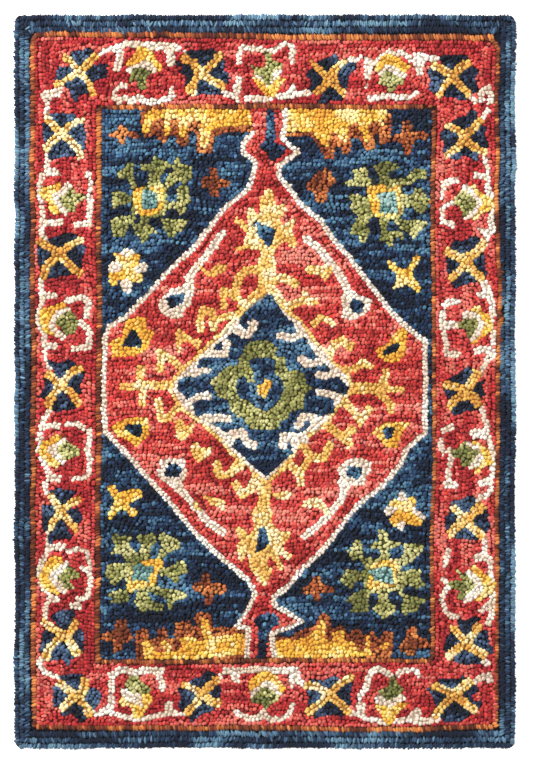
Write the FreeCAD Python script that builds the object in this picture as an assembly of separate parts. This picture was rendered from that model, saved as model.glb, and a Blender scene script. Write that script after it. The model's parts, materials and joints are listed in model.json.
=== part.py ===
"""Hooked pile rug: three backing layers carrying a pile of dyed yarn that draws a tribal pattern.

The rug lies flat on the floor: X runs across it, Y along it, and Z up from its underside.
The pattern is drawn once, in millimetres from the middle of a rug of the drawn size, and is
stretched to the rug's own width and length. Every patch of yarn is as tall as the pile, and
stops where the next patch begins.
"""
import FreeCAD
import Part
import math
import os

# Overall size
RUG_WIDTH = 610.0
RUG_LENGTH = 893.0
CORNER_RADIUS = 12.0

# Layers, from the floor up
FELT_THICKNESS = 1.2
LATEX_THICKNESS = 1.0
CLOTH_THICKNESS = 0.8
PILE_HEIGHT = 8.0
FELT_INSET = 3.0
LATEX_INSET = 2.5
CLOTH_INSET = 1.5

# Border bands, from the rug's edge inward
EDGE_BAND = 21.0
GUARD_BAND = 7.0
MOTIF_BAND = 73.0

# Drawing rules
DRAWN_WIDTH = 610.0
DRAWN_LENGTH = 893.0
LOOP_AREA = 14.0
MITRE_DEPTH = 160.0
SHARPEST_MITRE = 0.65
LINE_SPREAD = 1.8

LATEX_BASE = FELT_THICKNESS
CLOTH_BASE = LATEX_BASE + LATEX_THICKNESS
PILE_BASE = CLOTH_BASE + CLOTH_THICKNESS


def flat(x, y):
    """A point of the drawing, carried to the rug's own size."""
    return FreeCAD.Vector(x * RUG_WIDTH / DRAWN_WIDTH, y * RUG_LENGTH / DRAWN_LENGTH, 0.0)


def patch(*corners):
    """A flat patch of yarn with the given corners, facing up whichever way they are given."""
    ring = [flat(x, y) for x, y in corners]
    turning = sum(a.x * b.y - b.x * a.y for a, b in zip(ring, ring[1:] + ring[:1]))
    if turning < 0.0:
        ring.reverse()
    return Part.Face(Part.makePolygon(ring + ring[:1]))


def heading(start, end):
    """The unit direction from one station to another."""
    run = math.hypot(end[0] - start[0], end[1] - start[1])
    return (end[0] - start[0]) / run, (end[1] - start[1]) / run


def line(width, *stations):
    """A line of yarn, spread wider than drawn, with mitred turns and square ends past its stations."""
    half = (width + LINE_SPREAD) / 2.0
    ways = [heading(start, end) for start, end in zip(stations, stations[1:])]
    left = []
    right = []
    for place, way_in, way_out in zip(stations, ways[:1] + ways, ways + ways[-1:]):
        size = math.hypot(way_in[0] + way_out[0], way_in[1] + way_out[1])
        along = ((way_in[0] + way_out[0]) / size, (way_in[1] + way_out[1]) / size)
        square = along[0] * way_in[0] + along[1] * way_in[1]
        reach = half / max(square, SHARPEST_MITRE)
        left.append((place[0] - along[1] * reach, place[1] + along[0] * reach))
        right.append((place[0] + along[1] * reach, place[1] - along[0] * reach))
    for side in (left, right):
        side[0] = (side[0][0] - ways[0][0] * half, side[0][1] - ways[0][1] * half)
        side[-1] = (side[-1][0] + ways[-1][0] * half, side[-1][1] + ways[-1][1] * half)
    return patch(*(left + right[::-1]))


def faces_of(shape):
    """The faces big enough to hold a loop of yarn."""
    return [face for face in shape.Faces if face.Area >= LOOP_AREA]


def joined(shapes):
    """One flat shape out of several that overlap or touch."""
    if len(shapes) == 1:
        return shapes[0]
    return shapes[0].multiFuse(shapes[1:]).removeSplitter()


def cleared(shape, others):
    """The shape, less every other shape that reaches into it."""
    near = [other for other in others if other.BoundBox.intersect(shape.BoundBox)]
    return shape.cut(near) if near else shape


def raised(shape):
    """The flat shape raised to the height of the pile."""
    lift = FreeCAD.Vector(0.0, 0.0, PILE_BASE)
    rise = FreeCAD.Vector(0.0, 0.0, PILE_HEIGHT)
    solids = []
    for face in faces_of(shape):
        solid = face.extrude(rise)
        solid.translate(lift)
        solids.append(solid)
    return Part.makeCompound(solids)


def rounded_sheet(inset, base, thickness):
    """A plain layer with the rug's outline, set in from its edge."""
    width = RUG_WIDTH - 2.0 * inset
    length = RUG_LENGTH - 2.0 * inset
    corner = FreeCAD.Vector(-width / 2.0, -length / 2.0, base)
    box = Part.makeBox(width, length, thickness, corner)
    upright = [e for e in box.Edges if abs(e.BoundBox.ZLength - thickness) < 1e-6]
    return box.makeFillet(CORNER_RADIUS - inset, upright)


def outline_face():
    """The rug's outline as a flat face."""
    sheet = rounded_sheet(0.0, 0.0, 1.0)
    lowest = min(sheet.Faces, key=lambda face: face.CenterOfMass.z)
    return Part.Face(Part.Wire(Part.__sortEdges__(lowest.Edges)))


def band_edge(inset, left, right, top, bottom):
    """A closed band edge near an inset rectangle; each side wanders as the hand did."""
    x = RUG_WIDTH / 2.0 - inset
    y = RUG_LENGTH / 2.0 - inset
    ring = [(-x + off, y * at) for at, off in left]
    ring += [(x * at, y + off) for at, off in top]
    ring += [(x + off, y * at) for at, off in right]
    ring += [(x * at, -y + off) for at, off in bottom]
    points = [FreeCAD.Vector(px, py, 0.0) for px, py in ring]
    return Part.Face(Part.makePolygon(points + points[:1]))


def side_windows():
    """Four mitred windows that part a band into the rug's four sides."""
    x = RUG_WIDTH / 2.0
    y = RUG_LENGTH / 2.0
    deep = MITRE_DEPTH
    corners = {
        "top": ((-x, y), (x, y), (x - deep, y - deep), (-x + deep, y - deep)),
        "bottom": ((-x, -y), (x, -y), (x - deep, -y + deep), (-x + deep, -y + deep)),
        "left": ((-x, y), (-x, -y), (-x + deep, -y + deep), (-x + deep, y - deep)),
        "right": ((x, y), (x, -y), (x - deep, -y + deep), (x - deep, y - deep)),
    }
    windows = {}
    for side, ring in corners.items():
        points = [FreeCAD.Vector(px, py, 0.0) for px, py in ring]
        windows[side] = Part.Face(Part.makePolygon(points + points[:1]))
    return windows


def band_faces():
    """The rug's outline and the four closed edges between its bands."""
    guard = EDGE_BAND + GUARD_BAND
    motif = guard + MOTIF_BAND
    edges = [outline_face()]
    edges.append(band_edge(
        EDGE_BAND,
        ((-0.99, 1.0), (-0.4, -2.0), (0.2, -1.0), (0.6, -2.5), (0.98, -1.0)),
        ((0.96, 2.0), (0.5, 1.0), (0.2, 5.0), (0.0, 2.0), (-0.3, 2.0), (-0.99, 0.0)),
        ((-0.97, 1.0), (-0.5, 0.0), (-0.2, -1.0), (0.1, -3.0), (0.6, -3.5), (0.97, -2.0)),
        ((0.98, 2.0), (0.4, -2.0), (0.0, 1.0), (-0.3, 0.0), (-0.98, 3.0))))
    edges.append(band_edge(
        guard,
        ((-0.99, 0.0), (-0.4, -1.0), (0.2, -1.0), (0.6, -2.0), (0.99, -3.0)),
        ((0.97, 3.0), (0.5, 2.0), (0.2, 6.0), (0.0, 3.0), (-0.3, 3.0), (-0.99, 4.0)),
        ((-0.98, 0.0), (-0.5, -1.0), (-0.2, -2.0), (0.1, -4.0), (0.6, -4.5), (0.98, -5.0)),
        ((0.98, 1.0), (0.4, -1.0), (0.0, 1.0), (-0.3, 1.0), (-0.98, 1.0))))
    edges.append(band_edge(
        motif,
        ((-0.99, -3.0), (-0.4, -3.0), (0.2, -1.0), (0.6, -2.0), (0.97, -3.0)),
        ((0.97, 5.0), (0.5, 3.0), (0.2, 4.0), (-0.3, 5.0), (-0.6, 1.0), (-0.98, 4.0)),
        ((-0.98, -9.0), (-0.5, -8.0), (0.1, -8.0), (0.6, -8.5), (0.98, -9.0)),
        ((0.98, 3.0), (0.4, 4.0), (0.0, 3.0), (-0.5, 1.0), (-0.98, 2.0))))
    edges.append(band_edge(
        motif + GUARD_BAND,
        ((-0.99, -2.0), (-0.4, -2.0), (0.2, -1.0), (0.6, -2.0), (0.99, -2.0)),
        ((0.98, 4.0), (0.5, 3.0), (0.2, 5.0), (-0.3, 7.0), (-0.6, 3.0), (-0.99, 4.0)),
        ((-0.99, -8.0), (-0.5, -8.0), (0.1, -8.0), (0.6, -8.0), (0.98, -8.0)),
        ((0.98, 3.0), (0.4, 2.0), (0.0, 2.0), (-0.5, 2.0), (-0.98, 1.0))))
    return edges


def cross_arms():
    """The four crossed gold arms of each cross along the border."""
    return [
        # along the top
        line(8, (-226, 377), (-207, 395)), line(7, (-226, 377), (-236, 389), (-242, 394)),
        line(6, (-226, 377), (-240, 368), (-254, 361)), line(6, (-226, 377), (-213, 360), (-210, 351)),
        line(8, (-98, 394), (-88, 389), (-78, 376), (-62, 365), (-52, 361)),
        line(7, (-56, 397), (-63, 387), (-78, 376), (-87, 362), (-93, 354)),
        patch((-87, 374), (-78, 383), (-66, 376), (-78, 366)), line(6, (-86, 360), (-86, 350)),
        patch((53, 389), (57, 393), (68, 383), (76, 374), (68, 370), (57, 384)),
        patch((74, 374), (80, 381), (88, 388), (97, 392), (101, 388), (90, 379), (86, 370)),
        patch((74, 366), (66, 360), (58, 353), (63, 347), (70, 350), (78, 357), (86, 362)),
        patch((80, 360), (88, 352), (97, 344), (100, 351), (94, 356), (88, 364), (84, 372)),
        patch((70, 370), (76, 377), (87, 373), (90, 364), (82, 358), (72, 361)),
        line(8, (228, 371), (216, 380), (206, 383)), line(9, (228, 371), (237, 381), (245, 386)),
        line(6, (228, 371), (218, 361), (211, 349)), line(7, (228, 371), (236, 361), (247, 351)),
        # down the left side
        line(8, (-264, 320), (-254, 308), (-248, 302)), line(7, (-222, 317), (-230, 314), (-248, 302)),
        line(8, (-248, 302), (-260, 291), (-264, 284)), line(7, (-248, 302), (-228, 286), (-224, 275)),
        line(8, (-271, 169), (-262, 163), (-250, 155)), line(7, (-224, 172), (-232, 168), (-250, 155)),
        line(8, (-250, 155), (-263, 141), (-268, 128)), line(8, (-250, 155), (-238, 142), (-225, 132)),
        line(8, (-263, 8), (-248, -3)), line(8, (-226, 16), (-235, 11), (-248, -3)),
        line(8, (-248, -3), (-260, -20), (-263, -27)), line(8, (-248, -3), (-235, -13), (-227, -26)),
        line(7, (-259, -140), (-247, -160)), line(7, (-227, -144), (-243, -153), (-247, -160)),
        line(7, (-247, -160), (-258, -170), (-260, -177)), line(7, (-247, -160), (-231, -179)),
        line(7, (-267, -294), (-252, -304), (-244, -307)), line(7, (-231, -293), (-238, -307)),
        line(8, (-244, -307), (-261, -324), (-265, -333)), line(9, (-244, -307), (-228, -329)),
        line(9, (-247, -368), (-239, -374), (-228, -382)),
        line(8, (-218, -364), (-220, -378), (-228, -382)),
        line(8, (-228, -382), (-245, -396)), line(8, (-228, -382), (-217, -394), (-214, -402)),
        # down the right side
        line(8, (260, 316), (250, 305), (242, 299)), line(7, (222, 312), (232, 307), (242, 299)),
        line(8, (242, 299), (236, 286), (223, 276)), line(8, (242, 299), (250, 287), (266, 278)),
        line(10, (242, 302), (243, 292)),
        line(9, (266, 167), (252, 153), (245, 147)), line(9, (223, 158), (234, 153), (245, 147)),
        line(7, (245, 147), (236, 134), (226, 126)), line(9, (245, 147), (254, 134), (261, 127)),
        line(10, (246, 152), (246, 140)),
        line(10, (257, 8), (247, -9)), line(8, (221, -4), (232, -6), (244, -9)),
        line(8, (244, -14), (230, -22), (225, -29)), line(9, (249, -16), (256, -19), (259, -26)),
        line(9, (244, -8), (244, -18)),
        line(10, (262, -152), (252, -160), (244, -167)), line(8, (231, -154), (244, -167)),
        line(9, (244, -171), (233, -177), (226, -184)), line(9, (247, -171), (262, -185)),
        line(10, (240, -167), (249, -171)),
        line(9, (259, -298), (252, -308), (245, -316)), line(7, (228, -300), (236, -307), (245, -316)),
        line(9, (243, -319), (232, -327), (225, -334)), line(10, (248, -321), (258, -327), (265, -331)),
        line(8, (206, -371), (216, -375), (230, -381)), line(10, (248, -366), (230, -381)),
        line(8, (230, -381), (214, -397), (208, -405)), line(9, (230, -381), (246, -393), (254, -399)),
        # along the bottom
        line(7, (-98, -369), (-88, -373), (-76, -380)), line(9, (-60, -364), (-68, -371), (-76, -380)),
        line(8, (-76, -380), (-86, -393), (-93, -401)), line(9, (-76, -380), (-66, -389), (-58, -391)),
        line(8, (52, -368), (62, -370), (78, -379)), line(8, (104, -360), (92, -367), (78, -379)),
        line(8, (78, -380), (62, -396), (54, -401)), line(8, (78, -380), (92, -391), (100, -400)),
    ]


def cross_petals():
    """The dark petals between the arms of each cross."""
    return [
        # along the top
        patch((-240, 393), (-234, 402), (-222, 403), (-213, 407), (-206, 398), (-226, 376)),
        patch((-253, 382), (-241, 384), (-226, 377), (-240, 368), (-256, 359), (-254, 370)),
        patch((-219, 376), (-208, 384), (-200, 387), (-192, 386), (-193, 370), (-208, 366), (-212, 358)),
        patch((-226, 376), (-250, 361), (-236, 355), (-238, 348), (-229, 339), (-226, 348), (-212, 350)),
        patch((-96, 398), (-90, 404), (-68, 403), (-64, 407), (-58, 398), (-76, 382)),
        patch((-111, 388), (-106, 392), (-103, 387), (-94, 388), (-78, 376), (-90, 359), (-99, 360),
              (-94, 371), (-107, 378), (-99, 382)),
        patch((-78, 376), (-60, 386), (-52, 393), (-48, 390), (-50, 380), (-44, 374), (-43, 362)),
        patch((-78, 376), (-54, 357), (-51, 348), (-72, 349), (-85, 346)),
        patch((60, 386), (63, 391), (76, 394), (84, 398), (88, 396), (91, 389), (78, 372)),
        patch((84, 370), (98, 386), (110, 387), (112, 381), (103, 371), (100, 353)),
        patch((49, 372), (53, 380), (60, 382), (74, 370), (60, 352), (52, 355), (57, 366)),
        patch((81, 362), (97, 343), (80, 340), (68, 337), (65, 341)),
        patch((211, 392), (214, 396), (244, 397), (248, 392), (229, 372)),
        patch((196, 378), (210, 379), (228, 371), (210, 352), (203, 350), (198, 356), (202, 366)),
        patch((228, 371), (243, 379), (254, 383), (262, 377), (256, 369), (256, 364), (263, 355),
              (252, 351)),
        patch((213, 347), (228, 368), (248, 348), (244, 343), (234, 342), (229, 346)),
        # down the left side
        patch((-262, 326), (-235, 325), (-227, 323), (-248, 303), (-260, 316)),
        patch((-272, 314), (-262, 314), (-248, 302), (-262, 288), (-270, 296)),
        patch((-248, 302), (-221, 316), (-217, 300), (-220, 278)),
        patch((-248, 298), (-221, 273), (-242, 275), (-262, 268), (-263, 280)),
        patch((-265, 173), (-250, 177), (-244, 181), (-227, 180), (-227, 172), (-250, 158)),
        patch((-276, 168), (-266, 168), (-250, 155), (-266, 139), (-272, 132), (-275, 148)),
        patch((-250, 155), (-224, 168), (-217, 164), (-221, 150), (-222, 138), (-238, 141)),
        patch((-250, 150), (-227, 130), (-250, 128), (-262, 124), (-265, 136)),
        patch((-265, 26), (-250, 22), (-240, 29), (-229, 22), (-248, 0)),
        patch((-271, 8), (-258, 4), (-248, -3), (-260, -22), (-277, -19), (-268, -8)),
        patch((-248, -3), (-229, 16), (-216, 11), (-224, -5), (-221, -14), (-236, -16)),
        patch((-248, -8), (-229, -33), (-252, -37), (-264, -31)),
        patch((-262, -133), (-253, -129), (-245, -132), (-228, -133), (-247, -157)),
        patch((-269, -149), (-254, -151), (-247, -160), (-262, -174), (-266, -182), (-272, -175)),
        patch((-247, -160), (-228, -153), (-221, -168), (-227, -174)),
        patch((-247, -165), (-234, -193), (-250, -190), (-263, -197), (-264, -186)),
        patch((-262, -286), (-247, -278), (-231, -278), (-232, -290), (-244, -303)),
        patch((-268, -303), (-256, -305), (-244, -307), (-262, -326), (-274, -329)),
        patch((-242, -307), (-228, -298), (-221, -303), (-219, -331), (-227, -333)),
        patch((-246, -312), (-232, -335), (-239, -347), (-246, -336), (-252, -339), (-266, -338)),
        patch((-248, -356), (-216, -356), (-228, -380), (-246, -364)),
        patch((-256, -369), (-244, -375), (-230, -382), (-246, -397), (-257, -395)),
        patch((-226, -382), (-215, -371), (-205, -372), (-196, -380), (-206, -398)),
        patch((-228, -386), (-217, -400), (-219, -414), (-226, -413), (-233, -403), (-249, -407),
              (-243, -397)),
        # down the right side
        patch((225, 315), (233, 322), (244, 323), (250, 332), (258, 329), (259, 320), (242, 301)),
        patch((213, 306), (224, 309), (240, 299), (222, 275), (217, 280), (218, 292), (211, 299)),
        patch((244, 299), (262, 312), (271, 310), (268, 300), (272, 286), (268, 281), (254, 284)),
        patch((224, 272), (242, 297), (260, 279), (258, 267), (252, 266), (253, 271), (240, 273),
              (235, 267)),
        patch((224, 163), (230, 172), (240, 171), (250, 176), (262, 177), (264, 168), (245, 150)),
        patch((219, 152), (232, 154), (245, 146), (228, 127), (222, 127)),
        patch((246, 147), (265, 164), (268, 156), (267, 140), (271, 133), (268, 125), (258, 128)),
        patch((226, 114), (227, 124), (245, 144), (262, 125), (261, 120), (245, 119), (233, 113)),
        patch((221, 2), (238, 12), (248, 18), (257, 13), (246, -6)),
        patch((217, -12), (221, -7), (242, -9), (228, -22), (220, -19)),
        patch((247, -9), (260, -2), (271, 5), (264, -8), (270, -15), (264, -20), (254, -16)),
        patch((224, -38), (245, -14), (262, -29), (261, -35), (245, -36), (232, -42)),
        patch((224, -147), (244, -142), (247, -137), (255, -138), (257, -146), (245, -165)),
        patch((218, -168), (225, -158), (244, -167), (228, -181), (219, -180)),
        patch((246, -167), (264, -156), (272, -154), (275, -160), (270, -166), (276, -174), (270, -183)),
        patch((228, -191), (244, -171), (259, -189), (257, -192), (240, -190)),
        patch((231, -289), (247, -290), (250, -285), (263, -286), (259, -296), (245, -313)),
        patch((221, -308), (228, -303), (244, -316), (228, -330), (216, -327)),
        patch((246, -317), (262, -302), (271, -301), (272, -316), (278, -326), (275, -332), (260, -325)),
        patch((228, -339), (245, -320), (264, -336), (262, -343), (245, -345), (232, -342)),
        patch((207, -366), (212, -362), (236, -362), (240, -357), (247, -361), (230, -380)),
        patch((195, -374), (206, -371), (228, -381), (208, -400), (202, -382)),
        patch((232, -381), (247, -371), (260, -370), (261, -377), (251, -381), (256, -388), (266, -391),
              (260, -399)),
        patch((230, -384), (212, -406), (219, -415), (240, -412), (249, -408), (250, -399)),
        # along the bottom
        patch((-94, -365), (-78, -358), (-72, -352), (-62, -352), (-58, -360), (-76, -378)),
        patch((-107, -373), (-94, -371), (-78, -380), (-92, -402), (-106, -399), (-102, -385)),
        patch((-74, -380), (-60, -366), (-54, -372), (-54, -386), (-64, -387)),
        patch((-76, -383), (-60, -394), (-61, -401), (-77, -404), (-90, -415), (-93, -408)),
        patch((50, -360), (72, -362), (85, -357), (92, -361), (78, -376)),
        patch((50, -370), (62, -371), (78, -380), (58, -396), (53, -394)),
        patch((82, -379), (100, -364), (109, -365), (105, -380), (105, -395), (98, -397)),
        patch((78, -384), (62, -398), (60, -411), (78, -405), (94, -407), (98, -401)),
    ]


def blossom_gold():
    """The gold outer petals of each border blossom."""
    return [
        patch((-170, 384), (-168, 390), (-160, 396), (-155, 406), (-147, 407), (-137, 403), (-132, 393),
              (-126, 385), (-127, 378), (-145, 384)),
        patch((-17, 371), (-12, 374), (4, 360), (12, 372), (22, 371), (26, 366), (16, 353), (13, 347),
              (6, 344), (0, 348), (-12, 362)),
        patch((133, 381), (138, 390), (142, 396), (149, 399), (162, 395), (177, 381), (170, 375),
              (150, 380), (136, 377)),
        patch((-247, 244), (-262, 237), (-271, 236), (-275, 229), (-272, 223), (-264, 219), (-261, 205),
              (-256, 202), (-246, 206), (-250, 224)),
        patch((-245, 97), (-270, 87), (-274, 78), (-269, 60), (-248, 51), (-253, 73), (-240, 92)),
        patch((-246, -64), (-252, -64), (-272, -77), (-275, -87), (-262, -101), (-252, -105), (-247, -98),
              (-254, -84)),
        patch((-248, -211), (-258, -211), (-265, -220), (-276, -240), (-268, -253), (-249, -261),
              (-252, -238), (-246, -220)),
        patch((243, 238), (256, 241), (258, 235), (266, 229), (279, 223), (283, 214), (263, 203),
              (258, 195), (249, 197), (262, 214)),
        patch((250, 84), (252, 91), (262, 92), (265, 85), (272, 81), (281, 66), (262, 51), (256, 44),
              (248, 46), (258, 66)),
        patch((248, -74), (258, -72), (271, -82), (278, -98), (265, -105), (257, -112), (250, -110),
              (258, -92)),
        patch((250, -223), (255, -221), (274, -239), (283, -246), (281, -252), (268, -262), (258, -267),
              (248, -265), (258, -245)),
        patch((-179, -388), (-174, -383), (-151, -380), (-138, -381), (-136, -389), (-146, -402),
              (-151, -409), (-158, -409), (-165, -395), (-175, -394)),
        patch((-21, -371), (-18, -362), (-6, -354), (1, -351), (14, -357), (25, -373), (23, -379),
              (2, -370), (-19, -377)),
        patch((132, -390), (152, -392), (177, -390), (163, -402), (156, -415), (150, -419), (142, -405),
              (135, -398)),
    ]


def blossom_ivory():
    """The pale inner petals of each border blossom."""
    return [
        patch((-171, 380), (-160, 386), (-145, 392), (-135, 386), (-130, 379), (-135, 374), (-163, 374)),
        line(4, (-11, 373), (-3, 367), (4, 361)), line(5, (4, 361), (11, 369), (19, 378)),
        patch((136, 377), (142, 382), (150, 386), (158, 384), (174, 373), (172, 368), (150, 372),
              (139, 369)),
        line(6, (-238, 238), (-244, 232), (-255, 224), (-250, 215), (-243, 206)),
        line(6, (-239, 87), (-251, 83), (-258, 72), (-258, 64), (-247, 55)),
        line(6, (-244, -72), (-250, -76), (-260, -84), (-255, -90), (-246, -97)),
        line(7, (-242, -223), (-248, -227), (-258, -238), (-250, -249), (-244, -254)),
        line(7, (244, 236), (252, 229), (262, 218), (254, 207), (246, 201)),
        line(8, (245, 81), (256, 79), (263, 70), (258, 58), (252, 54)),
        line(7, (246, -76), (256, -82), (261, -91), (257, -99), (249, -102)),
        line(9, (247, -234), (256, -241), (261, -250), (254, -258), (245, -262)),
        patch((-177, -372), (-168, -374), (-150, -378), (-149, -396), (-158, -393), (-168, -388),
              (-174, -383)),
        patch((-21, -382), (-17, -376), (2, -362), (14, -370), (23, -381), (18, -384), (-16, -385)),
        patch((133, -384), (140, -379), (166, -379), (173, -386), (160, -392), (151, -396), (135, -391)),
    ]


def blossom_green():
    """The green calyx of each border blossom."""
    return [
        patch((-161, 381), (-150, 383), (-142, 380), (-136, 377), (-144, 370), (-143, 354), (-150, 355),
              (-156, 358), (-154, 365), (-159, 369), (-163, 362), (-166, 368), (-162, 375)),
        patch((-1, 402), (3, 401), (8, 396), (10, 391), (24, 388), (20, 381), (10, 377), (9, 367),
              (6, 362), (1, 361), (-4, 371), (-13, 374), (-18, 385), (-3, 382), (1, 384), (0, 392)),
        patch((138, 361), (139, 368), (144, 377), (150, 379), (156, 374), (170, 368), (168, 359),
              (160, 359), (153, 350), (148, 353), (148, 361)),
        patch((-234, 237), (-228, 229), (-217, 227), (-219, 222), (-228, 216), (-232, 206), (-239, 206),
              (-250, 222), (-242, 229)),
        patch((-241, 85), (-233, 87), (-226, 73), (-231, 59), (-241, 57), (-253, 70), (-251, 77)),
        patch((-243, -72), (-232, -76), (-224, -82), (-226, -89), (-243, -96), (-254, -84)),
        patch((-238, -222), (-221, -237), (-238, -242), (-229, -253), (-240, -253), (-253, -239)),
        patch((236, 229), (238, 234), (244, 232), (257, 221), (257, 215), (247, 203), (240, 199),
              (240, 210), (236, 214), (231, 217), (231, 223)),
        patch((236, 65), (235, 71), (247, 78), (256, 76), (261, 71), (250, 53), (245, 54), (244, 63)),
        patch((238, -76), (243, -72), (250, -81), (260, -87), (252, -95), (247, -103), (237, -103),
              (238, -94), (228, -92), (225, -84), (238, -80)),
        patch((230, -227), (234, -226), (248, -237), (257, -247), (247, -257), (242, -263), (232, -265),
              (237, -253), (228, -251), (223, -246), (226, -241), (241, -241)),
        patch((-172, -369), (-165, -359), (-153, -358), (-150, -367), (-139, -373), (-141, -380),
              (-164, -380)),
        patch((-18, -392), (-17, -385), (-4, -373), (4, -372), (18, -383), (17, -388), (9, -390),
              (3, -399), (-5, -391)),
        patch((137, -376), (150, -371), (152, -361), (156, -357), (160, -361), (160, -368), (168, -372),
              (167, -378), (154, -387), (146, -387)),
    ]


def vine_top():
    """The pale vine along the top."""
    return [
        line(5, (-204, 396), (-198, 401), (-188, 405), (-172, 410), (-160, 411)),
        line(8, (-176, 407), (-176, 397), (-178, 388), (-180, 382)), line(7, (-168, 411), (-140, 408)),
        line(8, (-140, 408), (-120, 407), (-107, 406)), line(9, (-119, 406), (-115, 397), (-114, 390)),
        patch((-101, 403), (-95, 403), (-93, 397), (-97, 388), (-101, 388), (-98, 396)),
        line(5, (-183, 354), (-178, 359), (-169, 360)),
        line(6, (-184, 347), (-178, 342), (-169, 345), (-160, 341), (-153, 346), (-146, 341),
              (-137, 341)),
        line(5, (-132, 341), (-126, 343), (-117, 344)),
        patch((-118, 343), (-110, 343), (-110, 353), (-112, 360), (-115, 360), (-118, 350)),
        line(5, (-32, 389), (-32, 401), (-27, 407), (-18, 405), (-8, 405), (2, 402), (8, 402)),
        line(5, (8, 402), (16, 406), (24, 410), (33, 409), (36, 402), (32, 396), (35, 390)),
        line(5, (-50, 358), (-47, 350), (-36, 347)), line(6, (-20, 344), (-2, 343), (16, 346), (30, 348)),
        patch((-36, 372), (-30, 371), (-24, 367), (-29, 363), (-27, 354), (-31, 347), (-28, 341),
              (-33, 338), (-37, 348), (-39, 356), (-36, 364)),
        patch((28, 351), (32, 360), (34, 366), (38, 360), (39, 350), (36, 345), (30, 346)),
        line(6, (36, 348), (48, 350), (62, 353)),
        patch((99, 391), (102, 396), (110, 394), (119, 398), (118, 391), (110, 386), (104, 387)),
        patch((121, 396), (130, 393), (132, 388), (129, 368), (122, 367), (120, 378)),
        patch((120, 358), (125, 364), (127, 358), (122, 355)),
        line(5, (134, 388), (142, 397), (152, 401), (160, 398), (166, 400), (172, 396), (176, 391)),
        line(5, (127, 344), (140, 346), (152, 348), (160, 345), (168, 346), (176, 345), (184, 350)),
        patch((179, 390), (181, 398), (190, 401), (196, 397), (208, 397), (213, 392), (204, 387),
              (197, 391), (192, 380), (192, 372), (185, 370), (183, 381)),
        line(5, (248, 350), (256, 341)),
        line(6, (264, 343), (264, 354), (272, 356), (275, 347), (275, 341)),
    ]


def vine_left():
    """The pale vine down the left side."""
    return [
        patch((-250, 357), (-245, 359), (-249, 345), (-256, 346), (-262, 339), (-275, 345), (-272, 351)),
        line(5, (-265, 339), (-265, 326)), line(5, (-264, 280), (-263, 269), (-265, 260)),
        patch((-269, 262), (-250, 258), (-247, 250), (-268, 249)),
        line(6, (-270, 250), (-274, 237), (-272, 220)), line(5, (-271, 211), (-270, 203)),
        patch((-216, 257), (-211, 256), (-211, 245), (-221, 250)), line(4, (-212, 243), (-213, 233)),
        line(6, (-213, 223), (-213, 192), (-229, 191)),
        line(5, (-271, 197), (-272, 185), (-271, 177), (-265, 173)), line(7, (-270, 193), (-249, 194)),
        line(5, (-271, 125), (-272, 106)), line(6, (-269, 104), (-256, 104)),
        line(5, (-269, 100), (-273, 86), (-276, 76), (-272, 65), (-268, 56), (-270, 48)),
        line(6, (-239, 99), (-222, 103), (-214, 97), (-217, 80)),
        line(6, (-224, 72), (-213, 62), (-214, 50), (-215, 42), (-232, 41)),
        line(6, (-268, 44), (-256, 43)), line(4, (-268, 40), (-268, 30), (-265, 22), (-262, 13)),
        line(5, (-263, -37), (-270, -48)), line(6, (-271, -56), (-260, -54), (-252, -54)),
        line(5, (-240, -52), (-230, -50), (-221, -56)), line(5, (-214, -59), (-213, -70), (-215, -80)),
        line(5, (-217, -82), (-213, -92), (-214, -108)),
        line(5, (-214, -112), (-222, -117), (-232, -118)),
        line(5, (-273, -64), (-272, -76)), line(5, (-275, -83), (-267, -104), (-262, -114)),
        line(7, (-262, -117), (-252, -117)), line(5, (-268, -124), (-266, -133), (-260, -138)),
        line(5, (-263, -184), (-264, -206), (-275, -230), (-272, -248), (-264, -258)),
        line(6, (-262, -202), (-246, -200)),
        line(4, (-240, -206), (-228, -203), (-216, -207), (-213, -224)),
        line(5, (-222, -227), (-214, -230), (-212, -246), (-215, -262), (-226, -265)),
        line(5, (-234, -272), (-224, -274)), line(7, (-262, -265), (-254, -265)),
        line(5, (-266, -272), (-267, -290)), line(6, (-268, -334), (-273, -340)),
        line(5, (-272, -345), (-268, -353), (-250, -360)),
    ]


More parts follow.
